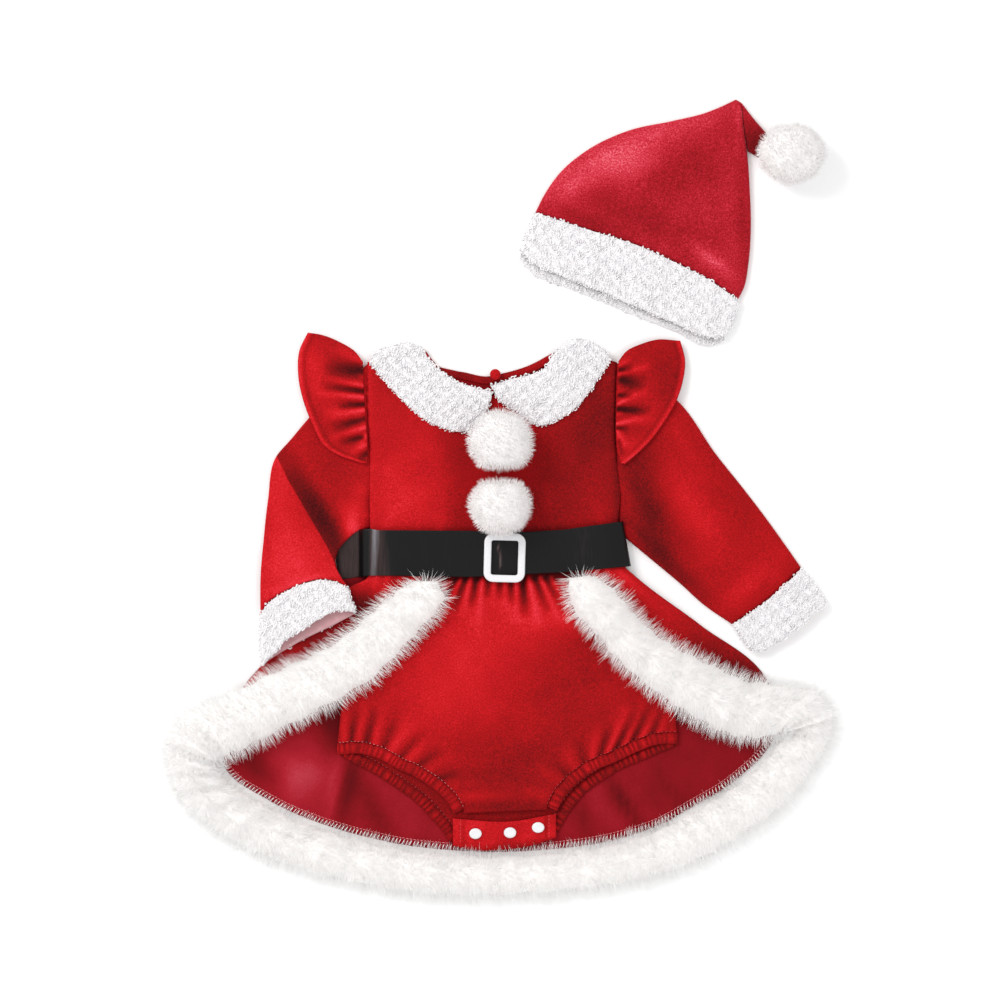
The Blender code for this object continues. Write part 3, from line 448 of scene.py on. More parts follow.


# grey steps for a painted highlight along the fold's edge and a painted shadow behind it
foldLightShadowStops = [(0.0, "#989898"), (0.31, "#a8a8a8"), (0.335, "#9a9a9a"), (0.35, "#181818"), (0.5, "#343434"),
             (0.75, "#686868"), (1.0, "#8a8a8a")]
satinStops = [(0.0, "#020202"), (0.3, "#070607"), (0.45, "#0e0d0f"), (0.62, "#352626"), (0.8, "#5a5558"),
              (1.0, "#8a868c")]
velvetStops = [(0.0, "#3a0103"), (0.22, "#600407"), (0.42, "#8a060a"), (0.58, "#a60a10"),
               (0.76, "#c4131b"), (1.0, "#e03340")]
materials = {
    "velvet": makeVelvet("stretchVelvet", velvetStops, 0.75, 0.2, "#ff5a60"),
    "hat": makeVelvet("stretchVelvetHat", [(0.0, "#450206"), (0.25, "#70060d"), (0.45, "#930d18"),
                                           (0.6, "#ab1624"), (0.8, "#cb3244"), (1.0, "#e46c7a")],
                      0.95, 0.26, "#ff7a86"),
    # a copy of the velvet with painted light and shade along the sleeve's fold
    "foldShadowVelvet": makeVelvet("stretchVelvetFoldShadow", velvetStops, 0.75, 0.2, "#ff5a60", paintFoldShadow=True),
    "wrongSide": makeVelvet("velvetWrongSide", [(0.0, "#3c0309"), (0.3, "#68080f"), (0.5, "#860d18"),
                                                (0.7, "#a01a28"), (1.0, "#bb404e")],
                            0.24, 0.08, "#ff8a94", 0.9),
    "sherpa": makePile("sherpaPile", [(0.0, "#c8c4c8"), (0.3, "#dfdcdf"), (0.6, "#f2f0f2"), (1.0, "#fcfbfc")],
                       0.95, 200.0, 0.1),
    "sherpaBack": makePile("sherpaBacking", [(0.0, "#a8686e"), (0.5, "#c99a9e"), (1.0, "#e6cfd0")],
                           0.95, 200.0, 0.4),
    "fur": makePile("longPileFur", [(0.0, "#e6dedb"), (0.25, "#f2eeec"), (0.55, "#fcfbfa"), (1.0, "#ffffff")],
                    0.95, 170.0, 0.3, 0.06),
    "pompom": makePile("pompomPile", [(0.2, "#d2cecc"), (0.5, "#ece9e8"), (0.8, "#fbfafa"), (1.0, "#ffffff")],
                       0.95, 150.0, 0.3, 0.07),
    "satin": makeSatin(),
    "plastic": makePlastic("mouldedPlastic", "#dcdcdf", 0.32),
    "redThread": makeThread("redThread", "#c2232d", "#dc555e"),
    "pinkThread": makeThread("pinkThread", "#dd6a72", "#f3b4b8"),
    "whiteThread": makeThread("whiteThread", "#f3dcdc", "#ffffff"),
}


def addObject(name, data):
    piece = bpy.data.objects.new(name, data)
    bpy.context.scene.collection.objects.link(piece)
    return piece


def finishPiece(name, mesh, material, nodes):
    mesh.shade_smooth()
    piece = addObject(name, mesh)
    mesh.materials.clear()
    mesh.materials.append(materials[material])
    if nodes is not None:
        dress(piece, nodes)
    return piece


def dress(piece, nodes):
    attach(piece, "root")
    if nodes:
        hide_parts(*nodes)


def paint(mesh, label, values):
    # a number for each vertex
    layer = mesh.attributes.new(label, "FLOAT", "POINT")
    layer.data.foreach_set("value", np.asarray(values, dtype=np.float32).ravel())


def read(piece, label):
    # places or normals of the vertices
    values = np.zeros(len(piece.data.vertices) * 3)
    piece.data.vertices.foreach_get(label, values)
    return values.reshape(-1, 3)


def meshOf(name, points, faces, tone=None, comb=None, cover=None):
    # points in table millimetres become metres round the middle of the set
    placed = np.array(points, dtype=float).reshape(-1, 3)
    placed = (placed - np.array([centreX, centreY, 0.0])) * mm
    mesh = bpy.data.meshes.new(name)
    mesh.from_pydata(placed, [], faces)
    for label, values in (("tone", tone), ("cover", cover)):
        if values is not None:
            paint(mesh, label, values)
    if comb is not None:
        layer = mesh.attributes.new("comb", "FLOAT_VECTOR", "POINT")
        layer.data.foreach_set("vector", np.asarray(comb, dtype=np.float32).ravel())
    return mesh


def surface(x, y, z):
    return np.stack([x, y, z], axis=-1)


def turnOut(mesh):
    # every face of a closed mesh points outwards
    bm = bmesh.new()
    bm.from_mesh(mesh)
    bmesh.ops.recalc_face_normals(bm, faces=bm.faces)
    bm.to_mesh(mesh)
    bm.free()


def gridFaces(rows, columns, closed=False, looped=False):
    # quads of a grid; closed joins its last column to its first, looped its last row
    i = np.arange(rows if looped else rows - 1)[:, None]
    j = np.arange(columns if closed else columns - 1)[None, :]
    nextRow = (i + 1) % rows
    nextColumn = (j + 1) % columns
    faces = np.stack([i * columns + j, nextRow * columns + j, nextRow * columns + nextColumn,
                      i * columns + nextColumn], axis=-1)
    return faces.reshape(-1, 4)


def addWall(piece, wall, offset=-1.0):
    shell = piece.modifiers.new("wall", "SOLIDIFY")
    shell.thickness = wall * mm
    shell.offset = offset
    return piece


def edgeDistance(plan):
    # distance of each grid point from the panel's nearest edge, in millimetres
    across = np.cumsum(np.linalg.norm(np.diff(plan, axis=0, prepend=plan[:1]), axis=2), axis=0)
    along = np.cumsum(np.linalg.norm(np.diff(plan, axis=1, prepend=plan[:, :1]), axis=2), axis=1)
    return np.minimum(np.minimum(across, across[-1:] - across), np.minimum(along, along[:, -1:] - along))


def makeSheet(name, plan, top, toneOf, material, node, wall=cloth, roll=0.5):
    # one layer of cloth: its upper face follows top, its edges turn down a little
    x = plan[..., 0]
    y = plan[..., 1]
    z = top(x, y) - roll * (1 - smoothstep(0.0, 2.4, edgeDistance(plan)))
    mesh = meshOf(name, surface(x, y, z), gridFaces(*x.shape), toneOf(x, y))
    return addWall(finishPiece(name, mesh, material, [node]), wall)


def makeTube(name, edges, rings, columns, floor, height, toneOf, material, node, wall=tubeCloth, tuck=0.0):
    # a flat tube of two layers whose folded sides are round; the lower layer may reach further,
    # and the upper one may be tucked down where it starts under another piece
    us = np.linspace(0.0, 1.0, rings)
    middle = np.linspace(0.0, 1.0, columns)
    root = curve(edges["root"])
    outer = curve(edges["outer"])
    inner = curve(edges["inner"])
    near = np.array([0.0, 0.006, 0.016, 0.032, 0.055])
    vs = np.concatenate([near, middle[(middle > 0.07) & (middle < 0.93)], 1 - near[::-1]])
    upper = patch(root, curve(edges["end"]), outer, inner, us, vs)
    lower = patch(root, curve(edges.get("back end", edges["end"])), outer, inner, us, vs)
    width = np.linalg.norm(upper[:, -1] - upper[:, 0], axis=1)[:, None]
    fromFold = np.minimum(vs, 1 - vs)[None, :] * width
    fromRoot = np.cumsum(np.linalg.norm(np.diff(upper, axis=0, prepend=upper[:1]), axis=2), axis=0)
    sides = []
    for plan, sign in ((upper, 1.0), (lower, -1.0)):
        x = plan[..., 0]
        y = plan[..., 1]
        tall = height(x, y)
        full = np.clip(fromFold / (tall * 0.55), 0.0, 1.0)
        profile = np.sqrt(1 - (1 - full) ** 2)
        z = floor(x, y) + tall * 0.5 * (1 + sign * profile)
        if sign > 0:
            z -= tuck * (1 - smoothstep(0.0, 6.0, fromRoot))
        sides.append((surface(x, y, z), toneOf(x, y) if sign > 0 else np.full_like(x, 0.45)))
    (upperPoints, upperTone), (lowerPoints, lowerTone) = sides
    points = np.concatenate([upperPoints, lowerPoints[:, -2:0:-1]], axis=1)
    tone = np.concatenate([upperTone, lowerTone[:, -2:0:-1]], axis=1)
    mesh = meshOf(name, points, gridFaces(points.shape[0], points.shape[1], True), tone)
    pointOutwards(mesh)
    return addWall(finishPiece(name, mesh, material, [node]), wall)


def pointOutwards(mesh):
    # the face that lies highest has to face up
    normals = np.zeros(len(mesh.polygons) * 3)
    middles = np.zeros(len(mesh.polygons) * 3)
    mesh.polygons.foreach_get("normal", normals)
    mesh.polygons.foreach_get("center", middles)
    highest = np.argmax(middles[2::3])
    if normals[highest * 3 + 2] < 0:
        mesh.flip_normals()


def settle(piece):
    # the evaluated result becomes the piece's own plain mesh
    depsgraph = bpy.context.evaluated_depsgraph_get()
    mesh = bpy.data.meshes.new_from_object(piece.evaluated_get(depsgraph), depsgraph=depsgraph)
    piece.modifiers.clear()
    piece.data = mesh
    return piece


def newTree(name, sockets):
    # a geometry tree with a geometry in and out and named inputs
    tree = bpy.data.node_groups.new(name, "GeometryNodeTree")
    tree.interface.new_socket("Geometry", in_out="INPUT", socket_type="NodeSocketGeometry")
    for kind, labels in sockets.items():
        for label in labels:
            tree.interface.new_socket(label, in_out="INPUT", socket_type="NodeSocket" + kind)
    tree.interface.new_socket("Geometry", in_out="OUTPUT", socket_type="NodeSocketGeometry")
    start = addNode(tree, "NodeGroupInput").outputs
    return tree, start


def runTree(piece, tree, values):
    modifier = piece.modifiers.new(tree.name, "NODES")
    modifier.node_group = tree
    identifiers = {item.name: item.identifier for item in tree.interface.items_tree if item.in_out == "INPUT"}
    for label, value in values.items():
        modifier[identifiers[label]] = value
    return settle(piece)


def restOnTable(tree, geometry):
    # nothing of the pile goes below the table
    spot = addNode(tree, "ShaderNodeSeparateXYZ", None, {0: addNode(tree, "GeometryNodeInputPosition")})
    above = addNode(tree, "ShaderNodeMath", {"operation": "MAXIMUM"}, {0: spot.outputs[2], 1: 0.0004})
    rested = addNode(tree, "ShaderNodeCombineXYZ", None, {0: spot.outputs[0], 1: spot.outputs[1], 2: above})
    return addNode(tree, "GeometryNodeSetPosition", None, {"Geometry": geometry, "Position": rested})


def endTree(tree, geometry, material):
    painted = addNode(tree, "GeometryNodeSetMaterial", None, {"Geometry": geometry, "Material": material})
    addNode(tree, "NodeGroupOutput", None, {"Geometry": painted})
    return tree


def makeHairTree():
    # tapered, bent hairs that stand on a body, combed by its own attribute, with the body under them
    tree, start = newTree("hairs", {"Float": ("Density", "Length", "Thickness", "Comb", "Bend", "Droop"),
                                    "Int": ("Points", "Seed"), "Material": ("Material",)})
    cover = addNode(tree, "GeometryNodeInputNamedAttribute", {"data_type": "FLOAT"}, {"Name": "cover"})
    dense = addNode(tree, "ShaderNodeMath", {"operation": "MULTIPLY"},
                    {0: start["Density"], 1: cover})
    scatter = addNode(tree, "GeometryNodeDistributePointsOnFaces", {"distribute_method": "RANDOM"},
                      {"Mesh": start["Geometry"], "Density": dense, "Seed": start["Seed"]})
    comb = addNode(tree, "GeometryNodeInputNamedAttribute", {"data_type": "FLOAT_VECTOR"}, {"Name": "comb"})
    combed = addNode(tree, "ShaderNodeVectorMath", {"operation": "SCALE"},
                     {0: comb, "Scale": start["Comb"]})
    stray = addNode(tree, "FunctionNodeRandomValue", {"data_type": "FLOAT_VECTOR"},
                    {0: (-0.42, -0.42, -0.42), 1: (0.42, 0.42, 0.42), "Seed": start["Seed"]})
    leaning = addNode(tree, "ShaderNodeVectorMath", {"operation": "ADD"},
                      {0: scatter.outputs["Normal"], 1: combed})
    aim = addNode(tree, "ShaderNodeVectorMath", {"operation": "ADD"}, {0: leaning, 1: stray})
    turn = addNode(tree, "FunctionNodeAlignRotationToVector", {"axis": "Z"}, {"Vector": aim})
    longer = addNode(tree, "FunctionNodeRandomValue", {"data_type": "FLOAT"},
                     {2: 0.62, 3: 1.12, "Seed": start["Seed"]})
    length = addNode(tree, "ShaderNodeMath", {"operation": "MULTIPLY"},
                     {0: longer.outputs[1], 1: start["Length"]})
    line = addNode(tree, "GeometryNodeCurvePrimitiveLine", None, {"End": (0.0, 0.0, 1.0)})
    fine = addNode(tree, "GeometryNodeResampleCurve", None, {"Curve": line, "Count": start["Points"]})
    spread = addNode(tree, "GeometryNodeInstanceOnPoints", None,
                     {"Points": scatter.outputs["Points"], "Instance": fine,
                      "Rotation": turn, "Scale": length})
    real = addNode(tree, "GeometryNodeRealizeInstances", None, {"Geometry": spread})
    along = addNode(tree, "GeometryNodeSplineParameter").outputs["Factor"]
    square = addNode(tree, "ShaderNodeMath", {"operation": "POWER"}, {0: along, 1: 1.6})
    here = addNode(tree, "GeometryNodeInputPosition")
    lock = addNode(tree, "ShaderNodeTexNoise", None, {"Vector": here, "Scale": 115.0, "Detail": 1.5})
    centred = addNode(tree, "ShaderNodeVectorMath", {"operation": "SUBTRACT"},
                      {0: lock.outputs[1], 1: (0.5, 0.5, 0.5)})
    bent = addNode(tree, "ShaderNodeVectorMath", {"operation": "SCALE"},
                   {0: centred, "Scale": start["Bend"]})
    down = addNode(tree, "ShaderNodeCombineXYZ", None, {"Z": start["Droop"]})
    pulled = addNode(tree, "ShaderNodeVectorMath", {"operation": "ADD"}, {0: bent, 1: down})
    offset = addNode(tree, "ShaderNodeVectorMath", {"operation": "SCALE"},
                     {0: pulled, "Scale": square})
    bending = addNode(tree, "GeometryNodeSetPosition", None, {"Geometry": real, "Offset": offset})
    moved = restOnTable(tree, bending)
    left = addNode(tree, "ShaderNodeMath", {"operation": "SUBTRACT"}, {0: 1.04, 1: along})
    taper = addNode(tree, "ShaderNodeMath", {"operation": "POWER"}, {0: left, 1: 0.75})
    radius = addNode(tree, "ShaderNodeMath", {"operation": "MULTIPLY"},
                     {0: taper, 1: start["Thickness"]})
    # painted shade: each hair is darker towards its root, deep in the pile
    rootShade = addNode(tree, "ShaderNodeMath", {"operation": "MULTIPLY_ADD"}, {0: along, 1: 0.55, 2: 0.42})
    shaded = addNode(tree, "GeometryNodeStoreNamedAttribute", {"data_type": "FLOAT", "domain": "POINT"},
                     {"Geometry": moved, "Name": "tone", "Value": rootShade})
    section = addNode(tree, "GeometryNodeCurvePrimitiveCircle", None, {"Resolution": 3, "Radius": 1.0})
    hairs = addNode(tree, "GeometryNodeCurveToMesh", None,
                    {"Curve": shaded, "Profile Curve": section,
                     "Scale": radius, "Fill Caps": False})
    both = addNode(tree, "GeometryNodeJoinGeometry", None, {"Geometry": hairs})
    tree.links.new(start["Geometry"], both.inputs["Geometry"])
    smooth = addNode(tree, "GeometryNodeSetShadeSmooth", None, {"Geometry": both})
    return endTree(tree, smooth, start["Material"])


def makeCurlTree():
    # small curled loops scattered over a pile cloth's outer face
    tree, start = newTree("curls", {"Float": ("Distance", "Loop", "Thickness"), "Int": ("Seed",),
                                    "Material": ("Material",)})
    cover = addNode(tree, "GeometryNodeInputNamedAttribute", {"data_type": "FLOAT"}, {"Name": "cover"})
    scatter = addNode(tree, "GeometryNodeDistributePointsOnFaces", {"distribute_method": "POISSON"},
                      {"Mesh": start["Geometry"], "Distance Min": start["Distance"], "Density Max": 900000.0,
                       "Density Factor": cover, "Seed": start["Seed"]})
    lean = addNode(tree, "FunctionNodeRandomValue", {"data_type": "FLOAT_VECTOR"},
                   {0: (-1.1, -1.1, -1.1), 1: (1.1, 1.1, 1.1), "Seed": start["Seed"]})
    aim = addNode(tree, "ShaderNodeVectorMath", {"operation": "ADD"},
                  {0: scatter.outputs["Normal"], 1: lean})
    turn = addNode(tree, "FunctionNodeAlignRotationToVector", {"axis": "X"}, {"Vector": aim})
    size = addNode(tree, "FunctionNodeRandomValue", {"data_type": "FLOAT"}, {2: 0.7, 3: 1.25, "Seed": start["Seed"]})
    loop = addNode(tree, "GeometryNodeCurvePrimitiveCircle", None, {"Resolution": 7, "Radius": start["Loop"]})
    cut = addNode(tree, "GeometryNodeTrimCurve", None, {"Curve": loop, "Start": 0.0, "End": 0.8})
    section = addNode(tree, "GeometryNodeCurvePrimitiveCircle", None, {"Resolution": 3, "Radius": start["Thickness"]})
    curl = addNode(tree, "GeometryNodeCurveToMesh", None,
                   {"Curve": cut, "Profile Curve": section, "Fill Caps": True})
    spread = addNode(tree, "GeometryNodeInstanceOnPoints", None,
                     {"Points": scatter.outputs["Points"], "Instance": curl,
                      "Rotation": turn, "Scale": size.outputs[1]})
    real = addNode(tree, "GeometryNodeRealizeInstances", None, {"Geometry": spread})
    rested = restOnTable(tree, real)
    high = addNode(tree, "FunctionNodeRandomValue", {"data_type": "FLOAT"}, {2: 0.70, 3: 1.0, "Seed": 5})
    shaded = addNode(tree, "GeometryNodeStoreNamedAttribute", {"data_type": "FLOAT", "domain": "POINT"},
                     {"Geometry": rested, "Name": "tone", "Value": high.outputs[1]})
    smooth = addNode(tree, "GeometryNodeSetShadeSmooth", None, {"Geometry": shaded})
    return endTree(tree, smooth, start["Material"])


def makeStitchTree():
    # short threads along a path of edges, each turned by an angle across it
    tree, start = newTree("stitches", {"Float": ("Pitch", "Long", "Thick", "Angle"),
                                       "Material": ("Material",)})
    path = addNode(tree, "GeometryNodeMeshToCurve", None, {"Mesh": start["Geometry"]})
    dots = addNode(tree, "GeometryNodeCurveToPoints", {"mode": "LENGTH"},
                   {"Curve": path, "Length": start["Pitch"]})
    along = addNode(tree, "FunctionNodeAlignRotationToVector", {"axis": "X"}, {"Vector": dots.outputs["Tangent"]})
    swing = addNode(tree, "ShaderNodeCombineXYZ", None, {"Z": start["Angle"]})
    turn = addNode(tree, "FunctionNodeRotateRotation", {"rotation_space": "LOCAL"},
                   {"Rotation": along, "Rotate By": swing})
    thread = addNode(tree, "GeometryNodeMeshUVSphere", None, {"Segments": 5, "Rings": 4, "Radius": 0.5})
    size = addNode(tree, "ShaderNodeCombineXYZ", None,
                   {"X": start["Long"], "Y": start["Thick"], "Z": start["Thick"]})
    spread = addNode(tree, "GeometryNodeInstanceOnPoints", None,
                     {"Points": dots.outputs["Points"], "Instance": thread.outputs["Mesh"],
                      "Rotation": turn, "Scale": size})
    real = addNode(tree, "GeometryNodeRealizeInstances", None, {"Geometry": spread})
    return endTree(tree, real, start["Material"])


hairTree = makeHairTree()
curlTree = makeCurlTree()
stitchTree = makeStitchTree()
print("materials and trees are ready")


def stitchRow(name, path, top, material, pitch=3.2, length=2.3, thick=0.55, degrees=0.0, lift=0.15):
    # a row of stitches lying on a surface; the path is an array of plan points
    x = path[:, 0]
    y = path[:, 1]
    mesh = meshOf(name, surface(x, y, top(x, y) + lift), [])
    mesh.edges.add(len(x) - 1)
    ends = np.stack([np.arange(len(x) - 1), np.arange(1, len(x))], axis=1)
    mesh.edges.foreach_set("vertices", ends.ravel())
    piece = addObject(name, mesh)
    runTree(piece, stitchTree, {"Pitch": pitch * mm, "Long": length * mm, "Thick": thick * mm,
                                "Angle": math.radians(degrees), "Material": materials[material]})
    dress(piece, [])
    return piece


# Bodice

bodice = {
    "left": [(-110, -44), (-110, -26), (-110.5, 0), (-110.5, 32), (-112, 60), (-113, 85), (-112.5, 117)],
    "right": [(104.5, -44), (100.5, -20), (102, 8), (99.5, 30), (98, 54), (98, 75), (99, 117)],
    "frontNeck": [(-65, 128), (-51, 110), (-32, 96), (-8, 88.5), (17, 98), (38, 109), (53, 128)],
    "backNeck": [(-65, 129), (-51, 113), (-30, 108.5), (-11, 105), (2, 107.5), (25, 114.5), (44, 124.5), (53, 129)],
    "tone": 0.52,
    # how much lighter the crests of the creases are painted
    "paintedCreaseLight": 0.14,
    # patches of painted light and shade, among them painted shade along the belt's upper edge
    "paintedLightAndShade": [(-82, 4, 26, 40, 0, 0.15), (-54, 20, 18, 60, 8, 0.03), (-30, -8, 18, 30, 0, -0.06),
                (50, 36, 26, 44, -18, -0.07), (36, -8, 20, 26, 0, -0.12), (66, -10, 26, 22, 0, -0.04),
                (84, 70, 20, 40, 0, -0.12), (80, -6, 24, 18, 0, 0.03),
                (-100, 100, 20, 20, 0, -0.05), (-36, 44, 14, 26, 0, -0.10),
                (0, -26, 120, 5, 0, -0.12)],
    "creases": [(-98, -24, -70, 16, 4, 9, 0.5), (-50, -24, -44, 24, 4, 10, 0.35), (44, -24, 40, 20, 4, 11, 0.4),
                (86, -20, 74, 26, 4, 9, 0.5), (-84, 96, -60, 54, 4, 10, 0.35), (70, 96, 56, 50, 5, 12, 0.4),
                (-110, 30, -84, 22, 3, 7, 0.4), (98, 40, 76, 30, 3, 8, 0.35)],
}


def bodiceTone(x, y):
    # painted lighter towards the left, where the light comes from; the left side seam catches painted light and the
    # right one lies in painted shade
    seams = 0.10 * bell(x, -112, 3.5) - 0.12 * bell(x, 99.5, 4)
    return toneWithPaintedLight(x, y, bodice) - 0.0009 * (x + 10) + seams


def bodiceTop(x, y):
    return bodiceFrontTop(x, y) + gathers(x, y, bodice["creases"]) + 0.35 * ripple(x, y, 1)


def bodiceBackTop(x, y):
    return overBelt(y) + cloth


def bodiceBackTone(x, y):
    # darker than the front, and painted lighter towards the left, where the light comes from
    return 0.3 + 0.1 * smoothstep(20, -60, x)


def makeBodice():
    for name, neck, node, top, tone, lines, rows in (
            ("bodiceFront", "frontNeck", "bodice_front", bodiceTop, bodiceTone, 88, 66),
            ("bodiceBack", "backNeck", "bodice_back", bodiceBackTop, bodiceBackTone, 60, 40)):
        points = bodice[neck]
        high = chain((straight(bodice["left"][-1], points[0]), curve(points),
                      straight(points[-1], bodice["right"][-1])), (3, 6, 3))
        low = straight(bodice["left"][0], bodice["right"][0])
        plan = patch(curve(bodice["left"]), curve(bodice["right"]), low, high, gridLines(lines), gridLines(rows))
        piece = makeSheet(name, plan, top, tone, "velvet", node)


neckParts = {
    "bindingWall": 1.3,
    "inset": 0.3,            # from the neck's edge
    "width": 6.0,
    "buttonPlace": (-4.0, 106.5, 6.35),
    "buttonHalf": (4.6, 4.6, 3.0),
}


def unitBall(subdivisions):
    ball = bmesh.new()
    bmesh.ops.create_icosphere(ball, subdivisions=subdivisions, radius=1.0)
    points = np.array([vert.co[:] for vert in ball.verts])
    faces = [[vert.index for vert in face.verts] for face in ball.faces]
    ball.free()
    return points, faces


def makeNeck():
    neck = curve(bodice["backNeck"][1:-1])
    upper = beside(neck, -neckParts["inset"])
    lower = beside(neck, -neckParts["inset"] - neckParts["width"])
    vs = np.array([0.0, 0.08, 0.25, 0.5, 0.75, 0.92, 1.0])
    plan = patch(straight(lower(0)[0], upper(0)[0]), straight(lower(1)[0], upper(1)[0]), lower, upper,
                 np.linspace(0, 1, 70), vs)

    def top(x, y):
        return cloth + gap + neckParts["bindingWall"] + 0.25 * np.sin(x * 1.9) * np.sin(x * 0.6)

    binding = makeSheet("neckBinding", plan, top, lambda x, y: 0.34 + 0.16 * smoothstep(-30, 40, x),
                        "velvet", "neck_binding", wall=neckParts["bindingWall"])
    unit, faces = unitBall(3)
    points = np.array(neckParts["buttonPlace"]) + unit * np.array(neckParts["buttonHalf"])
    mesh = meshOf("neckButton", points, faces, np.full(len(points), 0.62))
    finishPiece("neckButton", mesh, "velvet", ["neck_button"])


makeBodice()
makeNeck()
print("bodice and neck")


# Sleeves

sleeveLeft = {
    "root": [(-111.7, 116), (-112.2, 85), (-111.2, 60), (-109.7, 32), (-109.6, 0), (-109.8, -24)],
    "end": [(-203, -97), (-197, -88), (-179, -76), (-162, -69), (-150, -67), (-138, -69), (-128.5, -73.5)],
    "outer": [(-111.7, 116), (-136, 97), (-162, 70), (-178, 51), (-190, 37), (-197, 0), (-201, -38),
              (-203, -68), (-203, -97)],
    "inner": [(-109.8, -24), (-122, -27.5), (-131, -35), (-138, -45), (-139, -55), (-135, -64),
              (-128.5, -73.5)],
    "tone": 0.56,
    "paintedCreaseLight": 0.12,
    # patches of painted light and shade, among them the painted shadow beside the fold and a painted highlight along
    # its edge
    "paintedLightAndShade": [(-176, -60, 34, 26, 60, 0.20), (-188, 6, 14, 46, 0, 0.10), (-150, 60, 26, 26, 0, -0.02),
                (-150, -16, 40, 10, -60, -0.36), (-138, 22, 30, 16, -62, -0.08), (-124, -26, 20, 7, -68, 0.26),
                (-122, -6, 20, 6, 78, 0.12), (-166, -70, 40, 5, 18, 0.14)],
    "creases": [(-113, 8, -136, 16, 3, 8, 0.7), (-113, -14, -140, -2, 3, 8, 0.6), (-196, -30, -172, -40, 4, 10, 0.5),
                (-150, 70, -130, 40, 4, 9, 0.5)],
}
sleeveRight = {
    "root": [(98.2, 117), (97.2, 75), (97.2, 54), (98.7, 30), (101.2, 8), (100.7, -8), (100.8, -20),
             (105, -31)],
    "end": [(256, -58), (228, -84), (197, -105.5)],
    "outer": [(98.2, 117), (123, 105), (150, 85), (184, 38), (204, 13), (224, -13), (242, -38), (256, -58)],
    "inner": [(105, -31), (129, -51), (153, -71), (173, -89), (197, -105.5)],
    "tone": 0.53,
    "paintedCreaseLight": 0.10,
    # patches of painted light and shade, among them painted shade along the underarm creases
    "paintedLightAndShade": [(128, -14, 44, 15, -66, -0.30), (132, -44, 50, 7, -42, -0.26), (160, 0, 40, 16, -60, 0.16),
                (190, -28, 40, 24, -50, 0.06), (212, -72, 40, 9, 40, 0.14), (120, 40, 30, 22, -60, -0.14),
                (140, 50, 40, 16, -50, 0.02), (200, 0, 20, 30, 30, -0.04)],
    "creases": [(108, -24, 164, -70, 3, 5, 0.9), (104, 10, 132, -24, 3, 9, 0.7), (150, 60, 176, 10, 4, 12, 0.6),
                (238, -70, 214, -50, 4, 10, 0.5)],
}


def leftSleeveHeight(x, y):
    return leftArmHeight(x, y) + gathers(x, y, sleeveLeft["creases"])


def rightSleeveHeight(x, y):
    return rightArmHeight(x, y) + gathers(x, y, sleeveRight["creases"]) + 0.3 * ripple(x, y, 4)


def onFloor(x, y):
    return np.zeros_like(x)


def makeSleeves():
    left = makeTube("sleeveLeft", sleeveLeft, 76, 48, leftArmFloor, leftSleeveHeight,
                    lambda x, y: toneWithPaintedLight(x, y, sleeveLeft), "foldShadowVelvet", "sleeve_left", tuck=1.4)
    places = read(left, "co") / mm + np.array([centreX, centreY, 0.0])
    paint(left.data, "side", sideOf(sleeveCrease, places[:, 0], places[:, 1]))
    right = makeTube("sleeveRight", sleeveRight, 70, 44, onFloor, rightSleeveHeight,
                     lambda x, y: toneWithPaintedLight(x, y, sleeveRight), "velvet", "sleeve_right", tuck=1.4)


makeSleeves()
print("sleeves")


# Ruffles

ruffleLeft = {
    "left": [(-116.5, 31), (-126, 34), (-139, 39), (-150, 47), (-158, 62), (-166, 82), (-171, 105),
             (-170, 127), (-163, 142)],
    "right": [(-112.5, 32), (-112.5, 47), (-113.5, 62), (-114.5, 79), (-115.5, 97), (-116, 117)],
    "low": [(-116.5, 31), (-112.5, 32)],
    "high": [(-163, 142), (-151, 140), (-134, 133), (-123, 126), (-116, 117)],
    "ridges": [(-113.5, 96.3, -153.2, 104, 2.2, 5, 2.0), (-113.5, 86.6, -160, 92, 2.2, 5, 2.4),
               (-113, 76, -151, 71.3, 2.4, 6, 2.4), (-112, 62.1, -144.5, 51.8, 2.2, 5, 2.4),
               (-113, 54.5, -121, 43, 2.2, 4, 1.8), (-114, 104, -122, 108, 1.6, 3, 1.6),
               (-114, 117, -150, 132, 3, 8, 1.2), (-113, 69.5, -124, 68, 1.6, 3, 1.4),
               (-112.6, 47, -128, 38, 2, 4, 1.6)],
    "troughs": [(-117.3, 109.4, -150, 111.6, 5, 9, 1.6), (-114, 92, -153.2, 96.5, 2, 5, 1.6),
                (-114, 81.1, -138, 79.5, 1.8, 4, 1.8), (-114, 69.2, -142.3, 60.5, 2, 5, 1.6),
                (-117, 52.9, -138, 48.5, 2, 5, 1.4), (-112, 40, -120, 34, 2, 4, 1.4)],
    # patches of painted light and shade
    "paintedLightAndShade": [(-158, 112, 10, 26, 10, 0.16), (-150, 84, 10, 22, 30, 0.06), (-130, 45, 20, 6, -30, 0.06)],
}
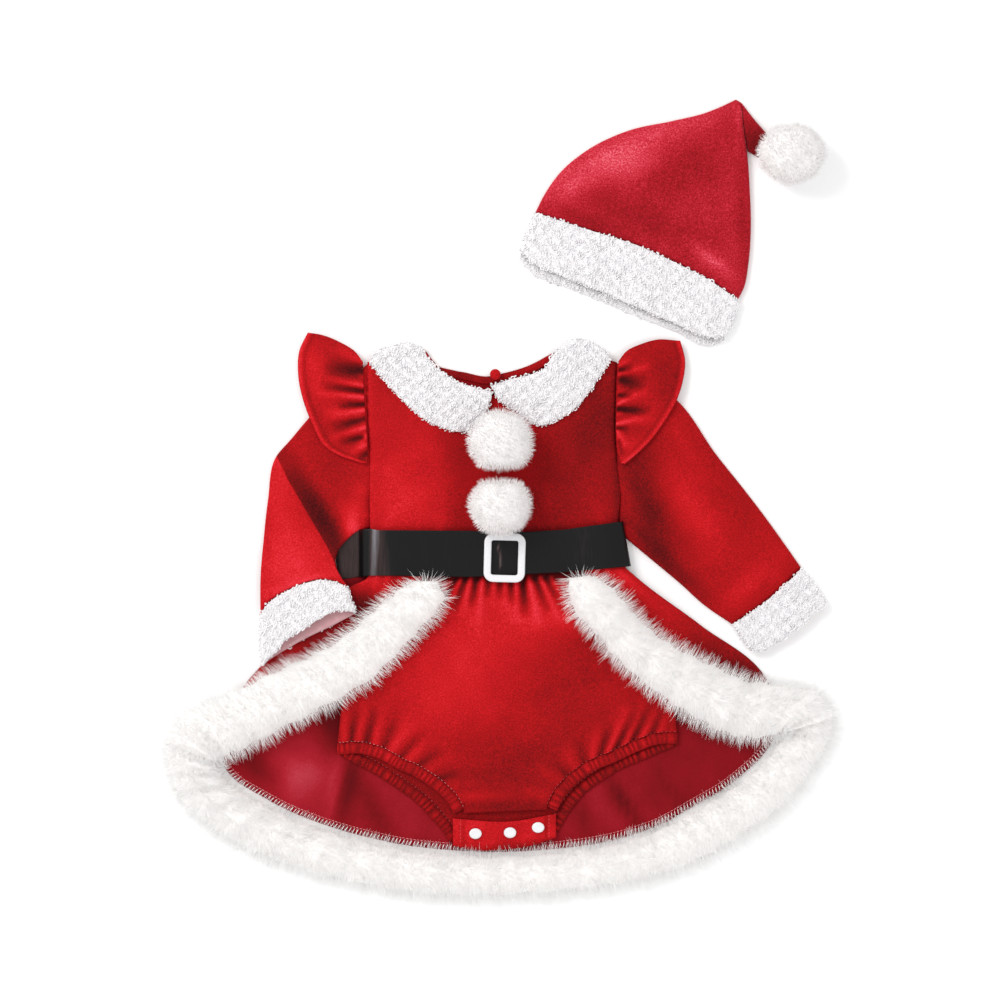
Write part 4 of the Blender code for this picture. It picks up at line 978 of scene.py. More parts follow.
ruffleRight = {
    "left": [(102, 31), (99.5, 42), (98.5, 54), (98.5, 75), (99.5, 97), (100.5, 118)],
    "right": [(106, 30.5), (116, 39), (128, 51), (139, 66), (149, 83), (155, 101), (157, 118), (153, 135)],
    "low": [(102, 31), (106, 30.5)],
    "high": [(100.5, 118), (107, 126), (119, 132), (133, 136), (153, 135)],
    "ridges": [(100, 106, 130, 114.6, 2, 4, 2.4), (100, 81.4, 126, 94.3, 2, 5, 2.6),
               (98.5, 64.2, 129.5, 71, 2.2, 5, 2.6), (99.6, 57.8, 107, 42.8, 2.4, 5, 2.2),
               (103.9, 33, 114, 40, 2, 4, 1.4), (100.5, 114, 112, 121, 1.8, 4, 1.6),
               (99, 90, 106, 92, 1.6, 3, 1.4), (99, 72, 106, 74, 1.6, 3, 1.4)],
    "troughs": [(101.7, 110, 114, 111, 1.6, 4, 1.6), (104, 102, 124, 96, 4, 8, 1.6),
                (100.7, 89, 114, 88, 1.6, 3, 1.6), (100.7, 77, 128, 75, 2, 5, 2.0),
                (99.6, 61, 110, 60, 1.6, 3, 1.4), (101, 50, 104, 38, 1.4, 3, 1.0)],
    # patches of painted light and shade
    "paintedLightAndShade": [(128, 78, 12, 40, 20, 0.06), (144, 112, 12, 24, 0, -0.08), (112, 46, 12, 8, 30, 0.14)],
}


def makeRuffles():
    # side, shape, height of the sleeve, shoulder corner, the way the hem falls, whether the seam is at the left
    for side, row, sleeveTop, corner, outward, seamOnLeft in (
            ("Left", ruffleLeft, leftArmHeight, (-114, 116), (-0.69, 0.72), False),
            ("Right", ruffleRight, rightArmHeight, (99, 117), (0.53, 0.85), True)):
        us = gridLines(40, 0.02)
        plan = panel(row, us, gridLines(96, 0.006))
        fromSeam = (us if seamOnLeft else 1 - us)[:, None]
        fromHem = (1 - fromSeam) * np.linalg.norm(plan[-1] - plan[0], axis=1)[None, :]

        def top(x, y):
            past = (x - corner[0]) * outward[0] + (y - corner[1]) * outward[1]
            waves = gathers(x, y, row["ridges"]) - gathers(x, y, row["troughs"])
            return (sleeveTop(x, y) + gap + 1.7 + cloth + np.maximum(waves, -1.5)
                    + 0.7 * bell(fromHem, 2.2, 1.8) - 2.4 * smoothstep(8, 42, past))

        def tone(x, y):
            # painted light on the crests and painted shade in the troughs; a painted highlight along the rolled hem
            # with a line of painted shade just inside it; patches of painted light and shade
            waves = gathers(x, y, row["ridges"]) * 0.18 - gathers(x, y, row["troughs"]) * 0.36
            hem = 0.26 * bell(fromHem, 1.5, 1.6) - 0.10 * bell(fromHem, 5.5, 1.2)
            return 0.52 + waves + hem + paintedLightAndShade(x, y, row["paintedLightAndShade"])

        node = "_" + side.lower()
        piece = makeSheet("ruffle" + side, plan, top, tone, "velvet", "ruffle" + node, roll=0.3)


makeRuffles()
print("ruffles")


# Bloomer

bloomer = {
    "legFrontLeft": [(-137, -216), (-119, -215), (-101, -220), (-87, -228), (-73, -234), (-59, -243),
                     (-45, -256), (-39.5, -266)],
    "legFrontRight": [(49, -263), (54, -252), (64, -241), (77, -231), (98, -222), (117, -213), (136, -207),
                      (150, -207)],
    "legBackLeft": [(-136, -217), (-127, -222), (-103, -235), (-85, -247), (-69, -259), (-57, -272),
                    (-48, -283), (-42, -292)],
    "legBackRight": [(49, -283), (53, -276), (60, -264), (70, -251), (84, -240), (104, -228), (128, -218),
                     (150, -209)],
    "waist": [(-25, -66, -33, -104, 2.6, 6, 2.1), (-14.5, -66, -19, -110, 2.4, 6, 2.1),
              (-5, -66, -6, -92, 2.2, 5, 1.8), (4, -66, 5, -98, 2.2, 5, 1.8),
              (13.3, -66, 16.3, -106, 2.4, 6, 2.2), (24, -66, 34, -112, 2.6, 7, 2.2),
              (34, -66, 56, -112, 2.6, 7, 2.2), (43, -66, 68, -118, 2.4, 7, 1.9), (-33, -68, -50, -100, 2.4, 6, 1.9),
              (-42, -70, -66, -104, 2.6, 7, 1.7), (54, -68, 84, -112, 2.6, 8, 1.4), (-56, -70, -84, -110, 3, 8, 1.3),
              (70, -68, 100, -112, 3, 8, 1.2), (-74, -68, -100, -110, 3, 8, 1.2)],
    "waistTroughs": [(-20, -66, -25, -92, 2.0, 4, 1.0), (-9.5, -66, -11, -84, 1.8, 4, 0.9),
                     (0, -66, 0, -84, 1.8, 4, 0.8), (9, -66, 10, -90, 2.0, 4, 1.0),
                     (19, -66, 21, -100, 2.4, 6, 1.3), (29.5, -66, 42, -96, 2.0, 4, 1.0),
                     (39, -66, 56, -98, 2.0, 4, 0.9), (-29, -66, -40, -94, 2.0, 5, 1.1),
                     (-38, -68, -56, -96, 2.2, 5, 1.0)],
    "legs": [(-132, -206, -131, -172, 2.6, 7, 1.5), (-121, -204, -112, -168, 2.6, 7, 1.6),
             (-106, -206, -98, -170, 2.6, 7, 1.5), (-93, -214, -72, -184, 2.6, 7, 1.4),
             (-79, -222, -56, -198, 2.6, 6, 1.2), (-64, -231, -36, -214, 2.6, 6, 1.1),
             (-50, -243, -14, -238, 2.6, 6, 0.9), (78, -222, 82, -186, 2.4, 6, 1.4),
             (90, -216, 110, -172, 2.4, 5, 1.9), (104, -210, 124, -168, 2.4, 5, 1.9),
             (119, -204, 133, -174, 2.4, 5, 1.7), (134, -198, 143, -176, 2.2, 5, 1.5),
             (66, -230, 52, -206, 2.6, 6, 1.2), (56, -241, 28, -224, 2.6, 6, 1.0), (52, -252, 16, -244, 2.4, 6, 0.8)],
    "legTroughs": [(84, -219, 94, -188, 2.0, 4, 1.2), (97, -213, 118, -174, 2.0, 5, 1.3),
                   (111, -207, 129, -170, 2.0, 5, 1.3), (127, -202, 140, -174, 2.0, 4, 1.2),
                   (72, -226, 66, -200, 2.0, 5, 0.9), (60, -236, 42, -218, 2.0, 5, 0.8),
                   (-126, -206, -122, -174, 2.0, 5, 1.2), (-113, -206, -105, -172, 2.0, 5, 1.2),
                   (-99, -211, -86, -180, 2.0, 5, 1.1), (-85, -219, -64, -194, 2.0, 5, 1.0),
                   (-71, -227, -48, -208, 2.0, 5, 0.9), (-57, -238, -28, -228, 2.0, 4, 0.8)],
    "crotch": [(-26, -243, 28, -238, 5, 8, 0.6), (-30, -254, 10, -250, 4, 7, 0.8), (36, -252, 0, -247, 4, 7, 0.7)],
    # patches of painted light and shade, among them painted shade under the belt's edge
    "paintedLightAndShade": [(-30, -122, 62, 44, 12, 0.22), (-50, -178, 46, 30, 20, 0.12), (34, -100, 26, 20, 0, 0.16),
                (64, -150, 40, 34, 0, -0.08), (10, -176, 30, 26, 0, 0.02), (20, -214, 40, 16, 0, -0.10),
                (-4, -238, 60, 14, 0, -0.10), (-20, -250, 24, 4, 0, 0.12), (110, -184, 30, 26, 0, 0.02),
                (-116, -184, 20, 26, 0, -0.04), (5, -260, 44, 6, 0, -0.14),
                (-70, -100, 26, 16, 50, -0.20), (88, -110, 30, 14, -50, -0.14),
                (0, -62, 70, 5, 0, -0.30)],
    "casing": 9.6,     # how wide a leg casing is
    "gathers": 26,     # along each of them
    "seam": 10.0,      # the seam's line above the leg's edge
}


def bloomerPlan(legLeft, legRight, crotch, shares, us, vs):
    innerLeft = beside(curve(bloomer[legLeft]), bloomer["seam"])
    innerRight = beside(curve(bloomer[legRight]), bloomer["seam"])
    low = chain((innerLeft, straight(innerLeft(1)[0], crotch[0]), straight(*crotch),
                 straight(crotch[1], innerRight(0)[0]), innerRight), shares)
    left = curve([tuple(low(0)[0])] + [(row[1], row[0]) for row in bloomerSides[1:]])
    right = curve([tuple(low(1)[0])] + [(row[2], row[0]) for row in bloomerSides[1:]])
    return patch(left, right, low, straight(left(1)[0], right(1)[0]), us, vs)


def bloomerTop(x, y):
    waist = 1.25 * gathers(x, y, bloomer["waist"]) - 1.3 * gathers(x, y, bloomer["waistTroughs"])
    legs = 1.3 * gathers(x, y, bloomer["legs"]) - gathers(x, y, bloomer["legTroughs"])
    return (bloomerFrontTop(x, y) + waist * smoothstep(-48, -62, y) + legs + gathers(x, y, bloomer["crotch"])
            + 0.35 * ripple(x, y, 7))


def bloomerTone(x, y):
    # painted light on the crests of the gathers at the waist, legs and crotch and painted shade in their troughs;
    # painted shade under the belt's edge at the top; a little darker just above the leg casings; patches of painted
    # light and shade
    waist = (0.16 * gathers(x, y, bloomer["waist"]) - 0.55 * gathers(x, y, bloomer["waistTroughs"])
             - 0.3 * smoothstep(-71, -66, y))
    legs = 0.17 * gathers(x, y, bloomer["legs"]) - 0.30 * gathers(x, y, bloomer["legTroughs"])
    near = smoothstep(44, 12, y - frontLegLine(x))
    return (0.52 + waist + legs - 0.04 * near + 0.10 * gathers(x, y, bloomer["crotch"])
            + paintedLightAndShade(x, y, bloomer["paintedLightAndShade"]))


def makeBloomer():
    front = bloomerPlan("legFrontLeft", "legFrontRight", ((-31, -265.5), (40, -262.5)), (13, 1, 8, 1, 13),
                        gridLines(126, 0.006), gridLines(92, 0.008))
    back = bloomerPlan("legBackLeft", "legBackRight", ((-32, -291.5), (40, -283.5)), (10, 1, 4, 1, 10),
                       gridLines(60), gridLines(34))
    frontPiece = makeSheet("bloomerFront", front, bloomerTop, bloomerTone, "velvet", "bloomer_front")
    backPiece = makeSheet("bloomerBack", back, bloomerBackTop, lambda x, y: 0.36 + 0 * x, "velvet",
                          "bloomer_back")
    count = bloomer["gathers"]
    us = np.linspace(0.0, 1.0, count * 6 + 1)
    vs = np.array([0.0, 0.06, 0.16, 0.3, 0.5, 0.7, 0.84, 0.94, 1.0])
    drift = us + 0.010 * np.sin(us * 29.0) + 0.006 * np.sin(us * 61.0 + 1)
    crest = (0.5 + 0.5 * np.cos(2 * math.pi * count * drift)[:, None])
    crest = crest ** 0.8 * (0.75 + 0.25 * np.sin(us * 17 + 2)[:, None])
    gathered = crest * np.sin(math.pi * np.clip(vs, 0.06, 0.94))[None, :] ** 0.5
    pinch = 0.5 * bell(vs[None, :], 0.9, 0.06)
    for half, height, tones in (("Front", bloomerFrontTop, (0.52, 0.50)), ("Back", bloomerBackTop, (0.40, 0.38))):
        for side, light in zip(("Left", "Right"), tones):
            low = curve(bloomer["leg" + half + side])
            high = beside(low, bloomer["casing"])
            plan = patch(straight(low(0)[0], high(0)[0]), straight(low(1)[0], high(1)[0]), low, high, us, vs)
            # painted light on the crests of the gathers and painted shade between them; the back casings get a lower
            # tone than the front ones
            makeSheet(
                "casing" + half + side, plan, lambda x, y: height(x, y) + 0.1 + 1.5 * gathered - pinch,
                lambda x, y: light - 0.15 + 0.34 * gathered, "velvet",
                "leg_casing_" + half.lower() + "_" + side.lower(), roll=0.9)
    for side, height, material in (("FrontLeft", bloomerTop, "pinkThread"), ("FrontRight", bloomerTop, "redThread"),
                                   ("BackLeft", bloomerBackTop, "redThread"),
                                   ("BackRight", bloomerBackTop, "redThread")):
        path = beside(curve(bloomer["leg" + side]), bloomer["seam"] + 0.4)(np.linspace(0.02, 0.98, 120))
        stitchRow("stitch" + side, path, height, material, 3.6, 1.9, 0.34, 0.0, 0.05)


placket = {
    "low": [(-40, -293), (-25, -296.5), (3, -296.5), (27, -293), (47.5, -286)],
    "high": [(-40, -270), (8, -272.5), (47.5, -266)],
    "left": [(-40, -293), (-40, -270)],
    "right": [(47.5, -286), (47.5, -266)],
    "bars": (-31, 39),       # the lines of its bar tacks
    "wall": 2.2,
    "snaps": [("snapLeft", "snap_left", -20.8, -282.6), ("snapMiddle", "snap_middle", 8.5, -281.8),
              ("snapRight", "snap_right", 32.3, -277.4)],
}
snap = {
    "profile": [(5.0, 0.0), (5.3, 0.5), (5.2, 1.0), (4.7, 1.5), (3.8, 1.75), (2.6, 1.8), (1.9, 1.6),
                (1.2, 1.45)],   # radius and height, with a shallow dimple
    "middle": 1.4,
    "oval": 0.86,
    "sides": 32,
}


def makeCrotch():
    left, right = placket["bars"]

    def top(x, y):
        bars = 0.35 * bell(x, left, 1.2) + 0.35 * bell(x, right, 1.2)
        return bloomerBackTop(x, y) + layers["placket"] + 0.25 * ripple(x * 3, y * 3, 3) - bars

    def tone(x, y):
        bars = 0.14 * bell(x, left, 1.4) + 0.14 * bell(x, right, 1.4)
        return 0.66 - bars + 0.08 * ripple(x * 4, y * 4, 5) - 0.2 * smoothstep(-289, -295, y - 0.12 * x)

    plan = panel(placket, gridLines(62, 0.01), gridLines(22, 0.03))
    piece = makeSheet("crotchPlacket", plan, top, tone, "velvet", "crotch_placket",
                      wall=placket["wall"], roll=0.8)
    for name, x, rise in (("placketStitchLeft", -33.5, 0), ("placketStitchRight", 41.5, 4)):
        path = np.stack([np.full(30, x), np.linspace(-289, -272, 30) + rise], axis=1)
        stitchRow(name, path, top, "redThread", 2.6, 1.8, 0.5, 0.0, 0.0)
    for name, node, x0, y0 in placket["snaps"]:
        below = float(bloomerBackTop(np.array([x0]), np.array([y0]))[0])
        makeSnap(name, node, x0, y0, below + layers["placket"] + gap)


def makeSnap(name, node, x0, y0, base):
    # a moulded cap with a round rim
    sides = snap["sides"]
    angles = np.arange(sides) * 2 * math.pi / sides
    points = [(x0 + r * math.cos(a), y0 + snap["oval"] * r * math.sin(a), base + z)
              for r, z in snap["profile"] for a in angles]
    points += [(x0, y0, base + snap["middle"]), (x0, y0, base)]
    faces = gridFaces(len(snap["profile"]), sides, True).tolist()
    last = len(points) - 2 - sides
    for k in range(sides):
        faces.append((last + k, len(points) - 2, last + (k + 1) % sides))
        faces.append(((k + 1) % sides, len(points) - 1, k))
    mesh = meshOf(name, points, faces)
    turnOut(mesh)
    finishPiece(name, mesh, "plastic", [node])


makeBloomer()
makeCrotch()
print("bloomer, placket and snaps")


# Skirt

skirt = {
    "left": [(-236, -222), (-236, -200), (-221, -163), (-178, -117), (-139, -75), (-135.5, -67.8),
             (-127, -66.2), (-126, -47)],
    "right": [(235, -201), (236, -176), (225, -150), (170, -106), (113, -63), (106.5, -57), (104.5, -47)],
    "frontLeft": {
        "left": [(-238, -192), (-221, -163), (-178, -118), (-146, -88), (-126, -73), (-111.5, -65), (-110, -47)],
        "right": [(-226, -203), (-205, -184), (-170, -162), (-135, -142), (-102, -118), (-80, -92), (-66, -68),
                  (-64, -47)],
        "ridges": [(-112, -62, -124, -84, 3, 6, 1.0), (-104, -62, -108, -88, 2.6, 5, 1.2),
                   (-94, -62, -97, -84, 2.6, 5, 1.1), (-84, -62, -84, -80, 2.6, 5, 0.9),
                   (-74, -62, -72, -78, 2.6, 5, 0.8)],
        # patches of painted light and shade
        "paintedLightAndShade": [(-112, -68, 9, 10, -60, 0.16), (-116, -88, 14, 12, 0, -0.30), (-98, -74, 8, 12, 0, 0.12),
                    (-150, -110, 30, 20, 40, -0.20), (-210, -160, 30, 16, 40, 0.10)],
    },
    "frontRight": {
        "left": [(224, -190), (200, -175), (170, -160), (143, -143), (119, -121), (97, -99), (78, -76), (72, -62),
                 (71, -47)],
        "right": [(236, -172), (225, -150), (170, -106), (113, -63), (106.5, -57), (104.5, -47)],
        "ridges": [(100, -60, 150, -104, 2.6, 7, 0.9), (90, -58, 118, -90, 2.6, 6, 1.0),
                   (80, -58, 94, -80, 2.4, 5, 1.0)],
        # patches of painted light and shade
        "paintedLightAndShade": [(130, -84, 40, 12, -40, 0.06), (210, -150, 40, 16, -36, -0.26), (170, -124, 40, 8, -38, -0.06),
                    (104, -66, 14, 8, -30, 0.12)],
    },
    "backRidges": [(-178, -262, -158, -190, 12, 10, 1.0), (-120, -282, -114, -236, 9, 8, 0.9),
                   (96, -285, 70, -246, 7, 7, 1.2), (136, -276, 92, -226, 8, 8, 1.3),
                   (190, -240, 150, -196, 9, 9, 1.0)],
    # patches of painted light and shade
    "backPaintedLightAndShade": [(-170, -236, 26, 20, 0, 0.26), (-141, -246, 34, 5, 80, 0.18), (-129, -243, 34, 8, 78, -0.34),
                    (-106, -264, 30, 9, 118, -0.24), (-142, -192, 22, 12, 90, -0.30), (-208, -226, 26, 12, -40, -0.26),
                    (-96, -262, 22, 22, 30, 0.04), (88, -262, 8, 30, 32, 0.13), (106, -258, 5, 30, 34, -0.26),
                    (124, -262, 7, 28, 34, 0.05), (70, -270, 6, 20, 20, -0.18), (160, -216, 40, 16, 10, -0.02),
                    (186, -196, 40, 7, -20, -0.22), (148, -250, 5, 26, 36, -0.10)],
    "overlock": [("overlockBars", 4.0, 5.6, 0.7, 72.0, "whiteThread"),
                 ("overlockEdge", 1.2, 2.8, 0.5, 0.0, "whiteThread"),
                 ("overlockInner", 7.2, 2.8, 0.5, 0.0, "pinkThread")],
}
furRows = np.array([
    (-43, -69, -85, -68.5, 14), (-46, -88, -97, -80, 17), (-63, -108, -114.5, -93, 17), (-83, -130, -134, -110, 17),
    (-107, -154, -163, -127.5, 17), (-146, -177, -190, -138, 18), (-184, -197, -219, -152, 18),
    (-214, -213, -250, -165, 19), (-230, -219, -275, -178, 19), (-237, -224, -289, -201, 20),
    (-234, -231, -289, -221, 20), (-229, -237, -285, -240, 20), (-222, -243, -274, -260, 20),
    (-208, -251, -253, -279, 20), (-189, -261, -225, -297, 20), (-165, -272, -192, -311, 20),
    (-138, -281, -153, -323.5, 20), (-106, -289.5, -111, -332, 21), (-70, -296, -72, -338.5, 21),
    (-29, -299.5, -30, -340, 21), (12, -300, 12, -339.5, 21), (53, -297, 56, -336.5, 21), (86, -292, 94, -331.5, 21),
    (114, -285, 128, -325, 20), (142, -274, 162, -314, 20), (167, -260, 193, -298, 20), (189, -247, 221, -281, 20),
    (208, -233, 247, -260, 20), (224, -218, 268, -233, 20), (235, -202, 284, -207, 20), (237, -198, 288, -181, 20),
    (229, -202, 274, -157, 19), (212, -205, 240, -149.5, 19), (190, -200.5, 212, -147, 18), (167, -189, 189, -137, 18),
    (144, -174.5, 163, -125, 17), (120, -156.5, 140, -112.5, 17), (97, -136, 122, -98, 17), (80, -115, 110, -84, 17),
    (62, -97, 100, -72, 17), (49, -67.5, 88, -62.5, 14),
], dtype=float)


def furAt(position):
    # inner edge, outer edge and height of the strip at row numbers
    position = asRow(position)
    i = np.clip(position.astype(int), 0, len(furRows) - 2)
    return blend(furRows, np.gradient(furRows, axis=0), i, (position - i)[:, None])


def hemLine(t):
    return furAt(9.02 + 20.96 * asRow(t))[:, :2]


def skirtBackSurface(x, y):
    return skirtBackTop(x, y) + gathers(x, y, skirt["backRidges"]) * smoothstep(-176, -214, y)


def skirtBackTone(x, y):
    # patches of painted light and shade; painted lighter towards the left; darker towards the waist
    return (0.52 + paintedLightAndShade(x, y, skirt["backPaintedLightAndShade"]) - 0.0003 * x - 0.2 * smoothstep(-200, -150, y)
            + 0.03 * ripple(x * 3, y, 9))


def makeSkirt():
    vs = 1 - (1 - gridLines(60)) ** 1.6
    hem = beside(hemLine, 1.0)
    plan = patch(curve(skirt["left"]), curve(skirt["right"]), hem,
                 straight(skirt["left"][-1], skirt["right"][-1]), gridLines(112, 0.005), vs)
    back = makeSheet("skirtBack", plan, skirtBackSurface, skirtBackTone, "wrongSide", "skirt_back")
    for side in ("Left", "Right"):
        row = skirt["front" + side]
        left = curve(row["left"])
        right = curve(row["right"])
        plan = patch(left, right, straight(left(0)[0], right(0)[0]), straight(left(1)[0], right(1)[0]),
                     gridLines(44, 0.02), 1 - (1 - gridLines(76)) ** 1.6)

        def top(x, y):
            ridges = np.minimum(gathers(x, y, row["ridges"]), 1.6)
            return skirtFrontFloor(x, y) + cloth + ridges + 0.25 * ripple(x, y, 5)

        def tone(x, y):
            # painted light on the crests of the waist gathers, and patches of painted light and shade
            return 0.5 + 0.14 * gathers(x, y, row["ridges"]) + paintedLightAndShade(x, y, row["paintedLightAndShade"])

        piece = makeSheet("skirtFront" + side, plan, top, tone, "velvet", "skirt_front_" + side.lower(),
                          roll=0.4)
    for name, distance, length, thick, degrees, material in skirt["overlock"]:
        path = beside(hemLine, distance)(np.linspace(0.02, 0.98, 420))
        stitchRow(name, path, skirtBackSurface, material, 3.1, length, thick, degrees, 0.2)


makeSkirt()
print("skirt")


# Fur edging

furSection = [(0.02, 0.0), (0.0, 0.3), (0.08, 0.62), (0.2, 0.84), (0.36, 0.97), (0.52, 1.0), (0.68, 0.95),
              (0.82, 0.8), (0.93, 0.58), (1.0, 0.3), (0.98, 0.0), (0.75, 0.0), (0.5, 0.0), (0.25, 0.0)]
furSettings = {
    "stretches": [("furFrontLeft", "fur_front_left", 0, 9, True), ("furHemLeft", "fur_hem_left", 9, 16, False),
                  ("furHemMiddle", "fur_hem_middle", 16, 23, False), ("furHemRight", "fur_hem_right", 23, 30, False),
                  ("furFrontRight", "fur_front_right", 30, 40, True)],
    "bodyWidth": 0.80,     # of the strip's width with its hair
    "bodyHeight": 0.60,
    "hair": {"Density": 460000.0, "Length": 0.0122, "Thickness": 0.00021, "Comb": 0.75, "Bend": 0.011,
             "Droop": -0.0012, "Points": 3},
}


def makeFur():
    settings = furSettings
    for number, (name, node, first, last, onSkirt) in enumerate(settings["stretches"]):
        count = (last - first) * 7
        position = np.linspace(first, last, count)
        rows = furAt(position)
        inner = rows[:, :2]
        outer = rows[:, 2:4]
        tall = rows[:, 4]
        across = outer - inner
        run = np.gradient((inner + outer) / 2, axis=0)
        run /= np.linalg.norm(run, axis=1)[:, None]
        wide = settings["bodyWidth"]
        # the two ends under the belt are rounded
        ends = np.ones(count)
        if first == 0:
            ends = smoothstep(-0.35, 0.75, position)
        if last == 40:
            ends = smoothstep(-0.35, 0.75, 40 - position)
        lump = 1 + 0.10 * np.sin(position * 5.3) + 0.07 * np.sin(position * 11.7 + 1.3)
        points = np.zeros((count, len(furSection), 3))
        comb = np.zeros_like(points)
        cover = np.zeros(points.shape[:2])
        for k, (share, rise) in enumerate(furSection):
            spot = 0.47 + (share - 0.5) * wide * (1 + 0.05 * np.sin(position * 7.9 + 2)) * (0.45 + 0.55 * ends)
            plan = inner + across * spot[:, None]
            base = skirtFrontTop(plan[:, 0], plan[:, 1]) + gap if onSkirt else np.zeros(count)
            knob = 1 + 0.06 * np.sin(position * 17 + share * 9)
            points[:, k, :2] = plan
            points[:, k, 2] = base + tall * settings["bodyHeight"] * rise * lump * knob * (0.3 + 0.7 * ends)
            sideways = across / np.linalg.norm(across, axis=1)[:, None] * (2 * share - 1) * 1.25
            comb[:, k, :2] = sideways + run * (0.35 if first < 20 else -0.35)
            comb[:, k, 2] = 0.1 - 0.12 * abs(2 * share - 1)
            if not onSkirt and share < 0.15:
                comb[:, k, :2] *= 0.3
                comb[:, k, 2] = 0.9
            cover[:, k] = 1.0 if rise > 0.05 else (0.5 if k in (0, 10) else 0.0)
        columns = len(furSection)
        faces = gridFaces(count, columns, True).tolist()
        if first == 0:
            faces.append(list(range(columns))[::-1])
        if last == 40:
            faces.append(list(range((count - 1) * columns, count * columns)))
        # the fur's body gets a low tone, painted shade under its hairs
        mesh = meshOf(name, points, faces, np.full(points.shape[:2], 0.34), comb, cover)
        turnOut(mesh)
        piece = finishPiece(name, mesh, "fur", None)
        runTree(piece, hairTree, {**settings["hair"], "Seed": 11 + number, "Material": materials["fur"]})
        dress(piece, [node])
        print(name, len(piece.data.polygons), "faces")


makeFur()


# Pompoms

pompoms = {
    # name, node, middle, half width, half length, half height, base, the side it is pressed on
    "rows": [("pompomTop", "pompom_top", 0.4, 48.5, 30.0, 30.0, 24.0, 5.3, (0.0, -1.0)),
             ("pompomLow", "pompom_low", 0.0, -4.3, 28.5, 28.5, 24.0, 5.3, (0.0, 1.0)),
             ("hatPompom", "hat_pompom", 245.7, 291.6, 31.5, 28.0, 25.0, 0.0, (0.0, 0.0))],
    "core": 0.81,
    "pressed": 0.60,
    "hair": {"Density": 600000.0, "Length": 0.0055, "Thickness": 0.00026, "Comb": 1.0, "Bend": 0.006,
             "Droop": 0.0, "Points": 3},
}


def makePompoms():
    settings = pompoms
    unit, faces = unitBall(4)
    for number, (name, node, x0, y0, *halves, base, flatSide) in enumerate(settings["rows"]):
        lumps = (1 + 0.035 * np.sin(unit[:, 0] * 6 + number) * np.sin(unit[:, 1] * 5 + 1)
                 + 0.02 * np.sin(unit[:, 2] * 11))
        radii = np.array(halves) * settings["core"]
        points = unit * radii * lumps[:, None]
        toward = points[:, :2] @ np.array(flatSide)
        limit = halves[1] * settings["pressed"]
        squeeze = np.where(toward > limit, limit + (toward - limit) * 0.3, toward) - toward
        points[:, :2] += squeeze[:, None] * np.array(flatSide)
        centre = np.array([x0, y0, base + halves[2] - 1.2])
        cover = np.where(unit[:, 2] < -0.55, 0.25, 1.0) * np.where(toward > limit * 1.1, 0.45, 1.0)
        comb = np.zeros_like(points)
        comb[:, 2] = 0.05
        # the pompom's core gets a lower tone than its hair tips, painted shade under its hairs
        mesh = meshOf(name, points + centre, faces, np.full(len(points), 0.55), comb, cover)
        piece = finishPiece(name, mesh, "pompom", None)
        runTree(piece, hairTree, {**settings["hair"], "Seed": 31 + number, "Material": materials["pompom"]})
        dress(piece, [node])
        print(name, len(piece.data.polygons), "faces")


makePompoms()


# Belt and buckle

belt = {
    "edges": np.array([(-139, -43, -64), (-136, -38, -67), (-130, -32, -67), (-120, -25.3, -65.5),
                       (-110, -24.2, -64), (-104, -25.5, -64), (-25, -26, -65), (22, -27, -62.5),
                       (55, -25, -61), (104, -18, -56)], dtype=float),
    "loop": [(-139, 1.2), (-138, 2.3), (-120.5, 2.6), (-115.5, 10.2), (-108, beltTop), (-60, beltTop),
             (-20, beltTop), (20, beltTop), (60, beltTop), (98, beltTop), (102, beltTop - 0.3), (104, 8.0),
             (104.4, 4.8), (104, 1.8), (102.5, 0.0), (60, 0.0), (20, 0.0), (-20, 0.0), (-60, 0.0), (-108, 0.0),
             (-138.4, 0.0)],
    "skew": 6.8,
}


def makeBelt():
    # a closed loop of ribbon round the waist, pressed flat
    corners = np.array(belt["loop"] + [belt["loop"][0]], dtype=float)
    steps = np.linalg.norm(np.diff(corners, axis=0), axis=1)
    marks = np.concatenate([[0.0], np.cumsum(steps)])
    along = np.arange(0.0, marks[-1], 2.0)
    x = np.interp(along, marks, corners[:, 0])
    z = np.interp(along, marks, corners[:, 1])
    rows = belt["edges"]
    lower = np.interp(x, rows[:, 0], rows[:, 2])
    upper = np.interp(x, rows[:, 0], rows[:, 1])
    vs = np.array([0.0, 0.03, 0.1, 0.22, 0.36, 0.5, 0.64, 0.78, 0.9, 0.97, 1.0])
    front = z > 9.0
    skew = belt["skew"] * smoothstep(60, 104, x)
    points = np.zeros((len(along), len(vs), 3))
    tone = np.zeros((len(along), len(vs)))
    for k, v in enumerate(vs):
        points[:, k, 0] = x + skew * (1 - v)
        points[:, k, 1] = lower + (upper - lower) * v
        wavy = 0.25 * np.sin(x * 0.11) * np.sin(v * 5 + x * 0.03) * front
        bulge = 0.35 * bell(x, 4, 9) * math.sin(math.pi * v) * front
        points[:, k, 2] = z + wavy + bulge
        # painted highlights: the shine near the left fold and further right, with painted shade towards the right end,
        # and the highlight on the bulge in the buckle's window; painted shade on the slope of the fold at the left;
        # the turned stretch at the left end gets a brown tone
        shine = (0.40 * bell(x, 1.5 * v - 107.5, 3.2) + 0.20 * bell(x, -98 - 5 * v, 8) + 0.10 * bell(x, 70, 14)
                 - 0.12 * smoothstep(84, 100, x)) * front
        windowHighlight = 0.42 * bell(x, 1.4 * math.sin(v * 6) - 0.6, 1.2) * (abs(v - 0.45) < 0.33) * front
        brown = 0.24 * (x < -119) * (z > 1.1)
        tone[:, k] = 0.36 + shine + windowHighlight + brown - 0.3 * bell(x, -115.5, 2.5) * (z > 3)
    mesh = meshOf("belt", points, gridFaces(len(along), len(vs), looped=True), tone)
    pointOutwards(mesh)
    piece = finishPiece("beltRibbon", mesh, "satin", ["belt"])
    addWall(piece, ribbonWall)


